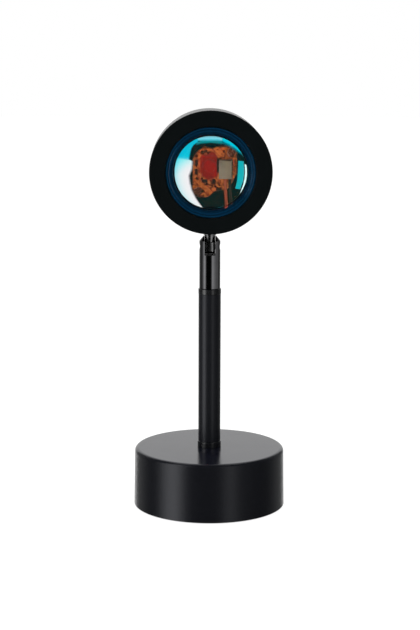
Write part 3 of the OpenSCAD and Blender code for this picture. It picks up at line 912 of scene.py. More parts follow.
@dataclass
class Base:
    """The weighted drum base: drawn steel shell, foot pad and cable grommet."""

    radius: float = 49.3
    draft: float = 0.5
    inside: float = 47.6
    wall: float = 1.2
    height: float = 38.2
    edge: float = 2.6
    foot: float = 0.4
    rod_hole: float = 5.05
    pad_radius: float = 46.1
    pad_height: float = 2.0
    inlet_z: float = 10.0
    inlet_hole: float = 3.9
    inlet_bore: float = 1.9
    flange_radius: float = 5.4
    flange_thick: float = 1.4
    gap: float = 0.05

    def shell(self, coat: Material) -> None:
        """Makes the drawn shell, a little narrower at its rolled top edge."""
        under = self.height - self.wall
        lean = self.draft / (self.height - self.edge - self.foot)
        top = self.radius - lean * (self.height - self.foot)
        solid = Solid.turned(
            "drawn_base_shell",
            [
                (self.rod_hole, under, 0), (self.inside, under, self.edge - self.wall),
                (self.inside, self.foot, 0.2), (self.radius, self.foot, 0.3),
                (top, self.height, self.edge), (self.rod_hole, self.height, 0.1),
            ],
            set_on(Axis.STEM), segments=256, steps=10,
        )
        low, high = self.inside - 4, self.radius + 4
        hole = Solid.rod(self.inlet_hole, low, high, set_on(Axis.BACK, self.inlet_z), 48)
        solid.cut(hole).ready(Body.STAND, [coat], "powder_coat", ["base_shell"])

    def pad(self, rubber: Material) -> None:
        """Makes the foot pad with two moulded grooves underneath."""
        r, h = self.pad_radius, self.pad_height
        Solid.turned(
            "moulded_foot_pad",
            [
                (0, h, 0), (0, 0, 0), (r - 14, 0, 0.2), (r - 13.5, 0.5, 0.2), (r - 12, 0.5, 0.2),
                (r - 11.5, 0, 0.2), (r - 6, 0, 0.2), (r - 5.5, 0.5, 0.2), (r - 4, 0.5, 0.2),
                (r - 3.5, 0, 0.2), (r, 0, 0.5), (r, h, 0.2),
            ],
            set_on(Axis.STEM), segments=192, steps=3,
        ).ready(Body.STAND, [rubber], "black_rubber", ["foot_pad"])

    def grommet(self, rubber: Material) -> None:
        """Makes the rubber grommet in the shell's back."""
        inner = math.sqrt(self.inside**2 - self.flange_radius**2) - self.gap
        sunk = self.draft * (self.inlet_z - self.flange_radius) / self.height
        outer = self.radius - sunk + self.gap
        neck = self.inlet_hole - self.gap
        Solid.turned(
            "rubber_grommet",
            [
                (self.inlet_bore, inner - self.flange_thick, 0.3),
                (self.flange_radius, inner - self.flange_thick, 0.4),
                (self.flange_radius, inner, 0.2), (neck, inner, 0), (neck, outer, 0),
                (self.flange_radius, outer, 0.2),
                (self.flange_radius, outer + self.flange_thick, 0.7),
                (self.inlet_bore, outer + self.flange_thick, 0.5),
            ],
            set_on(Axis.BACK, self.inlet_z), segments=96,
        ).ready(Body.STAND, [rubber], "black_rubber", ["cable_grommet"])

    def build(self, palette: Palette) -> None:
        """Makes the base's pieces."""
        self.shell(palette.base_coat)
        self.pad(palette.rubber)
        self.grommet(palette.rubber)


@dataclass
class Stem:
    """The stem tube between its two collars."""

    low: float = 38.2
    tube_low: float = 42.1
    tube_high: float = 139.6
    high: float = 143.2
    tube_radius: float = 7.25
    tube_bore: float = 6.25
    lower_radius: float = 7.65
    upper_radius: float = 7.4
    bore: float = 5.05
    spigot_radius: float = 6.2
    spigot: float = 4.0

    def tube(self, coat: Material) -> None:
        """Makes the stem tube."""
        Solid.turned(
            "drawn_stem_tube",
            [
                (self.tube_bore, self.tube_low, 0), (self.tube_radius, self.tube_low, 0.2),
                (self.tube_radius, self.tube_high, 0.2), (self.tube_bore, self.tube_high, 0),
            ],
            set_on(Axis.STEM),
        ).ready(Body.STAND, [coat], "powder_coat", ["stem_tube"])

    def collars(self, gloss: Material) -> None:
        """Makes the two turned collars."""
        Solid.turned(
            "turned_lower_collar",
            [
                (self.bore, self.low, 0), (self.lower_radius, self.low, 0.25),
                (self.lower_radius, self.tube_low, 0.4), (self.spigot_radius, self.tube_low, 0),
                (self.spigot_radius, self.tube_low + self.spigot, 0.3),
                (self.bore, self.tube_low + self.spigot, 0),
            ],
            set_on(Axis.STEM),
        ).ready(Body.STAND, [gloss], "gloss_black", ["lower_collar"])
        Solid.turned(
            "turned_upper_collar",
            [
                (self.bore, self.tube_high - self.spigot, 0),
                (self.spigot_radius, self.tube_high - self.spigot, 0.3),
                (self.spigot_radius, self.tube_high, 0),
                (self.upper_radius, self.tube_high, 0.35), (self.upper_radius, self.high, 0.5),
                (self.bore, self.high, 0),
            ],
            set_on(Axis.STEM),
        ).ready(Body.STAND, [gloss], "gloss_black", ["upper_collar"])

    def build(self, palette: Palette) -> None:
        """Makes the stem's pieces."""
        self.tube(palette.stem_coat)
        self.collars(palette.gloss)


@dataclass
class Knuckle:
    """The knuckle joint: a fork on the stem and a tongue under the head."""

    foot: float = 143.2
    radius: float = 6.8
    bore: float = 5.05
    socket_top: float = 153.7
    wire_bore: float = 1.7
    slot_floor: float = 165.2
    slot_width: float = 7.0
    pivot: float = 170.3
    cone_foot: float = 174.1
    cone_top: float = 177.4
    cone_radius: float = 4.1
    pivot_hole: float = 1.55
    screw_recess: float = 2.4
    recess_x: float = 5.2
    eye: float = 4.6
    eye_thick: float = 6.8
    eye_front: float = 3.75
    neck: float = 3.4
    neck_step: float = 177.91
    neck_ring: float = 4.0
    shoulder: float = 5.0
    shoulder_low: float = 180.05
    seat: float = 182.05
    stud: float = 3.0
    stud_top: float = 191.5
    lead_bore: float = 1.4

    def _cross_pin(self, radius: float, low: float, high: float) -> Solid:
        """Makes a round pin across the joint, to cut with."""
        return Solid.rod(radius, low, high, set_on(Axis.ACROSS, self.pivot))

    def fork(self, chrome: Material, milled: Material) -> None:
        """Makes the fork with its slot and the recesses of its screws."""

        def finish_of(centre: Vector, normal: Vector) -> int:
            """Gives the slot's floor its dark matt material, a painted shade in the recess."""
            return 1 if normal.z > 0.9 and abs(centre.z - self.slot_floor) < 0.1 else 0

        solid = Solid.turned(
            "milled_joint_fork",
            [
                (self.bore, self.foot, 0), (self.radius, self.foot, 0.35),
                (self.radius, self.cone_foot, 0.5), (self.cone_radius, self.cone_top, 0.35),
                (self.wire_bore, self.cone_top, 0), (self.wire_bore, self.socket_top, 0),
                (self.bore, self.socket_top, 0),
            ],
            set_on(Axis.STEM), segments=192,
        )
        half, far = self.slot_width / 2, 3 * self.radius
        slot = Solid.block(
            "slot", (-half, -far, self.slot_floor), (half, far, self.cone_top + 9),
            Matrix.Identity(4),
        )
        solid.cut(
            slot, self._cross_pin(self.pivot_hole, -far, far),
            self._cross_pin(self.screw_recess, self.recess_x, far),
            self._cross_pin(self.screw_recess, -far, -self.recess_x),
        )
        solid.soften(0.16, 50).ready(
            Body.STAND, [chrome, milled], "black_chrome", ["joint_fork"], finish_of
        )

    def tongue(self, chrome: Material) -> None:
        """Makes the tongue: a flat-sided eye, its neck, shoulder and threaded stud."""
        half = self.eye_thick / 2
        eye = Solid.turned(
            "turned_joint_tongue",
            [(0, -half, 0), (self.eye, -half, 0.3), (self.eye, half, 0.3), (0, half, 0)],
            set_on(Axis.ACROSS, self.pivot), segments=160,
        )
        low, high = self.pivot - 2 * self.eye, self.pivot + 2 * self.eye
        shift = self.radius - self.eye_front
        for side in (-shift, shift):
            eye.trim(Solid.rod(self.radius, low, high, Matrix.Translation((0, side, 0)), 160))
        thread: list[Corner] = []
        turn = self.seat + 0.4
        while turn < self.stud_top - 0.8:
            thread += [(self.stud, turn, 0), (self.stud - 0.35, turn + 0.5, 0)]
            turn += 1.0
        neck = Solid.turned(
            "neck",
            [
                (0, self.pivot, 0), (self.neck, self.pivot, 0), (self.neck, self.neck_step, 0.1),
                (self.neck_ring, self.neck_step, 0.25), (self.neck_ring, self.shoulder_low, 0.15),
                (self.shoulder, self.shoulder_low, 0.4), (self.shoulder, self.seat, 0.2),
                (self.stud, self.seat, 0), *thread, (self.stud - 0.5, self.stud_top, 0),
                (0, self.stud_top, 0),
            ],
            set_on(Axis.STEM), segments=160, steps=4,
        )
        bore = Solid.rod(self.lead_bore, low - 3, self.stud_top + 3, set_on(Axis.STEM), 48)
        eye.fuse(neck).cut(bore, self._cross_pin(self.pivot_hole, -9, 9))
        eye.ready(Body.HEAD, [chrome], "black_chrome", ["joint_tongue"])

    def build(self, palette: Palette) -> None:
        """Makes the joint's pieces."""
        self.fork(palette.chrome, palette.slot_floor)
        self.tongue(palette.tongue_chrome)


@dataclass
class Head:
    """The projector head's housing: barrel, bezel, light tube and heat sink.

    Lengths along the head run forwards from the stem's axis.
    """

    axis_z: float = 220.0
    radius: float = 38.4
    wall: float = 3.0
    back: float = -10.0
    front: float = 26.0
    face: float = 31.0
    opening: float = 28.2
    lip: float = 1.6
    seat: float = 30.8
    skirt_radius: float = 35.35
    skirt_back: float = 21.0
    spot_face: float = -37.954
    shoulder_hole: float = 5.1
    stud_hole: float = 3.1
    pad_width: float = 13.0
    pad_top: float = -33.4
    screw_ring: float = 32.4
    boss: float = 3.4
    boss_low: float = -7.0
    boss_high: float = 3.0
    screw_hole: float = 1.55
    screw_angles: tuple[float, ...] = (90.0, 210.0, 330.0)
    tube_radius: float = 26.3
    tube_bore: float = 24.8
    tube_flange: float = 30.5
    tube_flange_back: float = 23.0
    gasket_back: float = 25.0
    lead_hole: float = 2.2
    fin_radius: float = 36.7
    fin_thick: float = 1.6
    fin_gap: float = 2.4
    fin_count: int = 4
    core: float = 17.0
    sink_back: float = -29.0
    sink_flange: float = -13.0
    pedestal: float = 15.0
    pedestal_top: float = -1.5
    access_hole: float = 3.2

    def place(self) -> Matrix:
        """Finds the head's own frame."""
        return set_on(Axis.HEAD, self.axis_z)

    def _at_screws(self, radius: float, low: float, high: float, sides: int) -> list[Solid]:
        """Makes a rod at each screw's place."""
        rods = []
        for angle in self.screw_angles:
            turn = Matrix.Rotation(math.radians(angle), 4, "Z")
            spot = self.place() @ turn @ Matrix.Translation((self.screw_ring, 0, 0))
            rods.append(Solid.rod(radius, low, high, spot, sides))
        return rods

    def barrel(self, black: Material) -> None:
        """Makes the barrel with its spot face, nut pad and screw bosses."""
        inner = self.radius - self.wall
        solid = Solid.turned(
            "turned_head_barrel",
            [
                (inner, self.back, 0.3), (self.radius, self.back, 0.5),
                (self.radius, self.front, 0.25), (inner, self.front, 0.1),
            ],
            self.place(), segments=256,
        )
        half = self.pad_width / 2
        low, high = (-half, -self.radius + 1.5, -half), (half, self.pad_top, half)
        solid.fuse(
            Solid.block("pad", low, high, self.place()),
            *self._at_screws(self.boss, self.boss_low, self.boss_high, 64),
        )
        down = self.place() @ Matrix.Rotation(RIGHT_ANGLE, 4, "X")
        solid.cut(
            Solid.rod(self.shoulder_hole, -self.spot_face, self.radius + 3, down, 96),
            Solid.rod(self.stud_hole, -self.pad_top - 3, self.radius + 3, down),
            *self._at_screws(self.screw_hole, self.boss_low - 1, self.boss_high - 2, 32),
        )
        solid.ready(Body.HEAD, [black], "black_anodised", ["head_barrel"])

    def bezel(self, black: Material) -> None:
        """Makes the bezel that holds the lens."""
        back_of_lip = self.face - self.lip
        Solid.turned(
            "turned_front_bezel",
            [
                (self.seat, self.skirt_back, 0.2), (self.skirt_radius, self.skirt_back, 0.3),
                (self.skirt_radius, self.front, 0), (self.radius, self.front, 0.25),
                (self.radius, self.face, 0.6), (self.opening + 0.6, self.face, 0.12),
                (self.opening, self.face - 0.6, 0.12), (self.opening, back_of_lip, 0.1),
                (self.seat, back_of_lip, 0),
            ],
            self.place(), segments=256,
        ).ready(Body.HEAD, [black], "black_anodised", ["front_bezel"])

    def light_tube(self, plastic: Material) -> None:
        """Makes the light tube, stepped inside against stray light."""
        steps: list[Corner] = []
        at = self.tube_flange_back - 1
        groove = self.tube_bore + 0.5
        while at > self.boss_low + 2:
            steps += [(self.tube_bore, at, 0), (groove, at - 0.3, 0), (groove, at - 1.0, 0)]
            at -= 1.6
        tube = Solid.turned(
            "moulded_light_tube",
            [
                (self.tube_bore, self.boss_low, 0.2), (self.tube_radius, self.boss_low, 0.2),
                (self.tube_radius, self.tube_flange_back, 0.6),
                (self.tube_flange, self.tube_flange_back, 0.3),
                (self.tube_flange, self.gasket_back, 0.2),
                (self.tube_bore, self.gasket_back, 0.3), *steps,
            ],
            self.place(), segments=160, steps=3,
        )
        down = self.place() @ Matrix.Rotation(RIGHT_ANGLE, 4, "X")
        tube.cut(Solid.rod(self.lead_hole, self.tube_bore - 3, self.tube_radius + 1, down, 48))
        tube.ready(Body.HEAD, [plastic], "black_plastic", ["light_tube"])

    def heat_sink(self, black: Material) -> None:
        """Makes the finned heat sink that closes the head's back."""
        corners: list[Corner] = [(0, self.sink_back, 0)]
        pitch = self.fin_thick + self.fin_gap
        for k in range(self.fin_count):
            low = self.sink_back + k * pitch
            if k:
                corners.append((self.core, low, 0.4))
            corners += [(self.fin_radius, low, 0.35), (self.fin_radius, low + self.fin_thick, 0.35)]
            corners.append((self.core, low + self.fin_thick, 0.4))
        spigot = self.radius - self.wall - 0.05
        corners += [
            (self.core, self.sink_flange, 0.4), (self.fin_radius, self.sink_flange, 0.4),
            (self.fin_radius, self.back, 0.3), (spigot, self.back, 0),
            (spigot, self.boss_low, 0.3), (self.pedestal, self.boss_low, 0.4),
            (self.pedestal, self.pedestal_top, 0.3), (0, self.pedestal_top, 0),
        ]
        solid = Solid.turned("turned_heat_sink", corners, self.place(), segments=192)
        solid.cut(
            *self._at_screws(self.access_hole, self.sink_back - 1, self.sink_flange, 64),
            *self._at_screws(self.screw_hole, self.sink_flange - 1, self.boss_low + 1, 32),
        )
        solid.ready(Body.HEAD, [black], "black_anodised", ["heat_sink"])

    def build(self, palette: Palette) -> None:
        """Makes the housing's pieces."""
        self.barrel(palette.anodised)
        self.bezel(palette.anodised)
        self.light_tube(palette.plastic)
        self.heat_sink(palette.anodised)


@dataclass
class Lens:
    """The coated dome lens, flat behind, with a ridged flange."""

    axis_z: float = 220.0
    back: float = 26.0
    face: float = 29.35
    radius: float = 30.5
    dome: float = 23.9
    height: float = 10.5
    groove: float = 0.9
    groove_depth: float = 0.8
    shoulder: float = 24.3
    ridge: float = 25.85
    ring_in: float = 26.7
    ring_out: float = 27.9
    ring_height: float = 0.5
    dome_steps: int = 56

    def sphere(self) -> float:
        """Works out the radius of the dome's sphere."""
        return (self.dome**2 + self.height**2) / (2 * self.height)

    def centre(self) -> Vector:
        """Works out the middle of the dome's sphere, in the row frame."""
        return Vector((0, self.sphere() - self.face - self.height, self.axis_z))

    def corners(self) -> list[Corner]:
        """Lists the lens's outline from the middle of its back."""
        big = self.sphere()
        dip = self.face - self.groove_depth
        points: list[Corner] = [
            (0, self.back, 0), (self.radius, self.back, 0.2), (self.radius, self.face, 0.2),
            (self.ring_out, self.face, 0.1), (self.ring_out, self.face + self.ring_height, 0.45),
            (self.ring_in, self.face + self.ring_height, 0.45), (self.ring_in, self.face, 0.1),
            (self.ridge + 0.6, self.face, 0.1), (self.ridge + 0.3, self.face + 0.36, 0.3),
            (self.ridge - 0.3, self.face + 0.36, 0.3), (self.ridge - 0.6, self.face, 0.1),
            (self.shoulder, self.face, 0.6), (self.shoulder, dip, 0.1), (self.dome, dip, 0.1),
        ]
        full = math.asin(self.dome / big)
        for k in range(self.dome_steps + 1):
            angle = full * (1 - k / self.dome_steps)
            radius = 0.0 if k == self.dome_steps else big * math.sin(angle)
            points.append((radius, self.face + self.height - big * (1 - math.cos(angle)), 0))
        return points

    def build(self, palette: Palette) -> None:
        """Makes the lens, its dome, rim and back each with its own finish."""

        def finish_of(centre: Vector, normal: Vector) -> int:
            """Picks dome, rim or back from where a face lies."""
            out = math.hypot(centre.x, centre.z - self.axis_z)
            if normal.y > 0.9 and out < self.dome + self.groove:
                return 2
            return 0 if out < self.dome and -centre.y > self.face else 1

        place = set_on(Axis.HEAD, self.axis_z)
        solid = Solid.turned("polished_dome_lens", self.corners(), place, segments=288)
        coats = [palette.dome, palette.rim, palette.glass]
        solid.ready(Body.HEAD, coats, "coated_glass", ["lens"], finish_of)


@dataclass
class BoardWork:
    """The lamp's board with its heat pad, and the solder and wire links on it."""

    axis_z: float = 220.0
    face: float = 0.0
    board_thick: float = 1.2
    pad_thick: float = 0.3
    screws: tuple[Spot, ...] = ((-3.9, -8.7), (7.5, 4.7))
    screw_hole: float = 0.9
    bead_rise: float = 0.6
    wire_radius: float = 0.16
    wire_lift: float = 0.2
    outline: tuple[Corner, ...] = (
        (-5.6, -8.8, 1.2), (-4.0, -10.4, 1.0), (-0.4, -10.4, 1.2), (1.6, -8.6, 1.0), (5.6, -8.2, 1.4),
        (7.6, -5.8, 1.5), (9.2, -2.6, 1.5), (9.2, 4.6, 1.4), (7.4, 6.4, 1.4), (3.2, 6.4, 1.0),
        (0.8, 5.9, 0.8), (-1.6, 6.4, 1.0), (-4.2, 4.8, 1.2), (-5.6, 2.2, 1.4),
    )
    beads: tuple[tuple[float, float, float], ...] = (
        (-2.4, 4.7, 0.75), (-1.2, 5.1, 0.55), (-0.4, 4.4, 0.4), (3.9, 2.4, 0.5), (-4.4, 3.4, 0.5),
        (-2.6, -4.3, 0.35), (-0.9, -6.2, 0.4), (2.0, -7.0, 0.45), (4.7, -8.6, 0.5), (3.4, -6.4, 0.4),
        (-4.4, -4.3, 0.45), (-4.5, 0.0, 0.3), (6.2, 1.4, 0.5), (5.0, 5.0, 0.45), (-2.2, -8.6, 0.5),
    )
    wires: tuple[tuple[Spot, Spot], ...] = (
        ((-2.4, 4.7), (0.6, 4.9)), ((-0.9, -6.2), (1.3, -6.9)), ((3.9, 2.4), (3.7, -2.0)),
    )

    def _plate(self, name: str, low: float, high: float) -> Solid:
        """Makes a plate with the board's outline and screw holes."""
        place = set_on(Axis.HEAD, self.axis_z)
        plate = Solid.plate(name, self.outline, low, high, place)
        for x, y in self.screws:
            spot = place @ Matrix.Translation((x, y, 0))
            plate.cut(Solid.rod(self.screw_hole, low - 1, high + 1, spot, 24))
        return plate

    def plates(self, palette: Palette) -> None:
        """Makes the board, its uneven edge as the lens shows it, and the heat pad behind."""
        back = self.face - self.board_thick
        self._plate("etched_circuit_board", back, self.face).ready(
            Body.HEAD, [palette.board], "board_aluminium", ["led_board"]
        )
        self._plate("cut_heat_pad", back - self.pad_thick, back).ready(
            Body.HEAD, [palette.silicone], "grey_silicone", ["thermal_pad"]
        )

    def solder(self, palette: Palette) -> None:
        """Makes the beads of solder and the short wire links as one piece."""
        place = set_on(Axis.HEAD, self.axis_z)
        parts = []
        for x, y, r in self.beads:
            corners: list[Corner] = [(0, 0, 0), (r, 0, 0)]
            for k in range(1, 6):
                angle = math.radians(15 * k)
                corners.append((r * math.cos(angle), self.bead_rise * r * math.sin(angle), 0))
            corners.append((0, self.bead_rise * r, 0))
            spot = place @ Matrix.Translation((x, y, self.face))
            parts.append(Solid.turned("bead", corners, spot, segments=24))
        for (x0, y0), (x1, y1) in self.wires:
            span = Vector((x1 - x0, y1 - y0, 0))
            turn = Vector((0, 0, 1)).rotation_difference(span).to_matrix().to_4x4()
            lie = place @ Matrix.Translation((x0, y0, self.face + self.wire_lift)) @ turn
            thick, long = self.wire_radius, span.length
            corners = [(0, 0, 0), (thick, 0, 0.05), (thick, long, 0.05), (0, long, 0)]
            parts.append(Solid.turned("link", corners, lie, segments=16))
        first = parts[0]
        first.piece.name = "board_solder_work"
        first.add(*parts[1:]).ready(Body.HEAD, [palette.solder], "zinc_steel")

    def build(self, palette: Palette) -> None:
        """Makes the board's pieces."""
        self.plates(palette)
        self.solder(palette)


class InnerPieces:
    """The CAD nodes that keep their meshes, each with its own finish."""

    def __init__(self, nodes: dict[str, bpy.types.Object], palette: Palette) -> None:
        """Keeps the nodes and lists their finishes."""
        self.nodes = nodes
        self.finishes: dict[str, Material] = {
            "counterweight": palette.iron,
            "bottom_plate": palette.black_steel,
            "plate_screws": palette.zinc,
            "cable_clamp": palette.plastic,
            "clamp_screws": palette.zinc,
            "inner_cable": palette.rubber,
            "threaded_rod": palette.zinc,
            "base_nut": palette.zinc,
            "lock_washer": palette.zinc,
            "base_washer": palette.zinc,
            "pivot_screws": palette.black_steel,
            "neck_washer": palette.zinc,
            "neck_nut": palette.zinc,
            "lens_gasket": palette.silicone,
            "sink_screws": palette.zinc,
            "led_emitter": palette.ceramic,
            "phosphor_disc": palette.phosphor,
            "board_chips": palette.dark_ceramic,
            "lead_terminal": palette.terminal,
            "board_screws": palette.zinc,
            "led_leads": palette.sheath,
        }

    def build(self) -> None:
        """Gives each kept node its finish and even shading."""
        for name, material in self.finishes.items():
            node = self.nodes[name]
            node.data.materials.clear()
            node.data.materials.append(material)
            even_shading(node)
            LOG.info("%s: keeps its mesh", name)


# ---- The studio ----


@dataclass
class CameraRig:
    """The camera at the photograph's place, which leans by a fifth of a degree.

    Lengths are in metres, angles in degrees and the lens in millimetres.
    """

    distance: float = 1.0
    height: float = 0.2952
    down: float = 9.63
    turn: float = 0.94
    side: float = 0.00023
    lean: float = 0.185
    lens: float = 89.31

    def spot(self) -> Vector:
        """Works out the camera's place in metres."""
        turn = math.radians(self.turn)
        across = Vector((math.cos(turn), -math.sin(turn), 0))
        back = Vector((-math.sin(turn), -math.cos(turn), 0))
        return back * self.distance + across * self.side + Vector((0, 0, self.height))

    def build(self) -> None:
        """Makes the scene's camera."""
        data = bpy.data.cameras.new("camera")
        data.sensor_width = 36
        data.sensor_fit = "AUTO"
        data.lens = self.lens
        camera = show(bpy.data.objects.new("camera", data))
        camera.location = self.spot()
        level_aim = Matrix.Rotation(-math.radians(self.turn), 3, "Z") @ Matrix.Rotation(
            math.radians(90 - self.down), 3, "X"
        )
        leaning = level_aim @ Matrix.Rotation(math.radians(self.lean), 3, "Z")
        camera.rotation_euler = leaning.to_euler()
        bpy.context.scene.camera = camera


@dataclass
class Card:
    """A studio card: a curved patch that only mirrors see, brighter or darker than the room.

    The grid holds rows of points in metres, and glow gives each point's light.
    """

    name: str
    grid: list[list[Vector]]
    glow: Callable[[float, float], Colour]
    blocks: bool = False
    seen_by: Optional[Receiver] = None

    def _material(self) -> Material:
        """Makes the card's material, see-through unless it blocks."""
        sheet = Sheet(self.name)
        light = sheet.node("ShaderNodeAttribute", {"attribute_name": "glow"}, {}, "Color")
        shine = sheet.node("ShaderNodeEmission", {}, {"Color": light, "Strength": 1.0})
        if self.blocks:
            return sheet.shown(shine.socket)
        clear = sheet.node("ShaderNodeBsdfTransparent", {}, {"Color": (1.0, 1.0, 1.0)})
        return sheet.shown(sheet.node("ShaderNodeAddShader", {}, {0: shine, 1: clear}).socket)

    def build(self, receivers: dict[Receiver, bpy.types.Collection]) -> None:
        """Makes the card.

        Args:
            receivers: The collections of pieces that cards can be kept to.
        """
        rows, columns = len(self.grid), len(self.grid[0])
        shape = bmesh.new()
        layer = shape.verts.layers.float_color.new("glow")
        verts = []
        for i, row in enumerate(self.grid):
            line = []
            for j, point in enumerate(row):
                vert = shape.verts.new(point)
                vert[layer] = (*self.glow(j / (columns - 1), i / (rows - 1)), 1)
                line.append(vert)
            verts.append(line)
        for i in range(rows - 1):
            for j in range(columns - 1):
                shape.faces.new([verts[i][j], verts[i][j + 1], verts[i + 1][j + 1], verts[i + 1][j]])
        mesh = bpy.data.meshes.new(self.name)
        shape.to_mesh(mesh)
        shape.free()
        mesh.materials.append(self._material())
        card = show(bpy.data.objects.new(self.name, mesh))
        for ray in ("camera", "diffuse", "shadow", "transmission", "volume_scatter"):
            setattr(card, "visible_" + ray, False)
        if self.seen_by:
            card.light_linking.receiver_collection = receivers[self.seen_by]
        card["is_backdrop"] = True


def sky_grid(
    centre: Vector,
    distance: float,
    turns: tuple[float, float],
    lifts: tuple[float, float],
    rows: int = 24,
    columns: int = 24,
) -> list[list[Vector]]:
    """Lays a grid on a sphere.

    Args:
        centre: The sphere's middle, in metres.
        distance: Its radius.
        turns: The first and last turn from -Y towards +X, in degrees.
        lifts: The lowest and highest elevation, in degrees.
        rows: The number of points from the lowest up.
        columns: The number of points round.

    Returns:
        The rows of points, from the lowest up.
    """
    grid = []
    for i in range(rows):
        lift = math.radians(lifts[0] + (lifts[1] - lifts[0]) * i / (rows - 1))
        row = []
        for j in range(columns):
            turn = math.radians(turns[0] + (turns[1] - turns[0]) * j / (columns - 1))
            out = math.cos(lift)
            aim = Vector((math.sin(turn) * out, -math.cos(turn) * out, math.sin(lift)))
            row.append(centre + aim * distance)
        grid.append(row)
    return grid


@dataclass
class DomeMirror:
    """Finds where a studio card must stand for its image to fall on a spot of the dome."""

    lens: Lens
    eye: Vector
    distance: float = 0.7

    def card_point(self, spot: Spot) -> Vector:
        """Follows the mirrored ray from a spot of the dome.

        Args:
            spot: Millimetres across and up from the middle of the dome.

        Returns:
            The card's point, in metres.
        """
        big = self.lens.sphere()
        out = min(math.hypot(*spot), 0.999 * self.lens.dome)
        turn = math.atan2(spot[1], spot[0])
        depth = math.sqrt(big**2 - out**2)
        normal = Vector((out * math.cos(turn), -depth, out * math.sin(turn))) / big
        point = (self.lens.centre() + normal * big) * MM
        ray = (point - self.eye).normalized()
        mirrored = ray - 2 * ray.dot(normal) * normal
        return point + mirrored * self.distance

    def grid(self, inner: Sequence[Spot], outer: Sequence[Spot], count: int = 8) -> list[list[Vector]]:
        """Spans a card between two edges of its image on the dome.

        Args:
            inner: Spots along one edge of the image.
            outer: As many spots along the other edge.
            count: The number of points from edge to edge.

        Returns:
            The rows of points along the edges.
        """
        fine = 4
        rows = []
        for i in range((len(inner) - 1) * fine + 1):
            k = min(i // fine, len(inner) - 2)
            t = i / fine - k
            a = Vector(inner[k]).lerp(Vector(inner[k + 1]), t)
            b = Vector(outer[k]).lerp(Vector(outer[k + 1]), t)
            rows.append([self.card_point(tuple(a.lerp(b, j / (count - 1)))) for j in range(count)])
        return rows


def smooth(low: float, high: float, at: float) -> float:
    """Goes smoothly from 0 at low to 1 at high."""
    t = min(max((at - low) / (high - low), 0.0), 1.0)
    return t * t * (3 - 2 * t)


def between(stops: Sequence[Spot], at: float) -> float:
    """Reads a value off a line through the stops (place, value)."""
    if at <= stops[0][0]:
        return stops[0][1]
    for (low, first), (high, last) in zip(stops, stops[1:]):
        if at <= high:
            return first + (last - first) * (at - low) / (high - low)
    return stops[-1][1]


def new_lamp(kind: str, name: str, power: float) -> bpy.types.Object:
    """Puts a lamp in the scene that mirrors don't see."""
    data = bpy.data.lights.new(name, kind)
    data.energy = power
    lamp = show(bpy.data.objects.new(name, data))
    lamp.visible_glossy = False
    return lamp


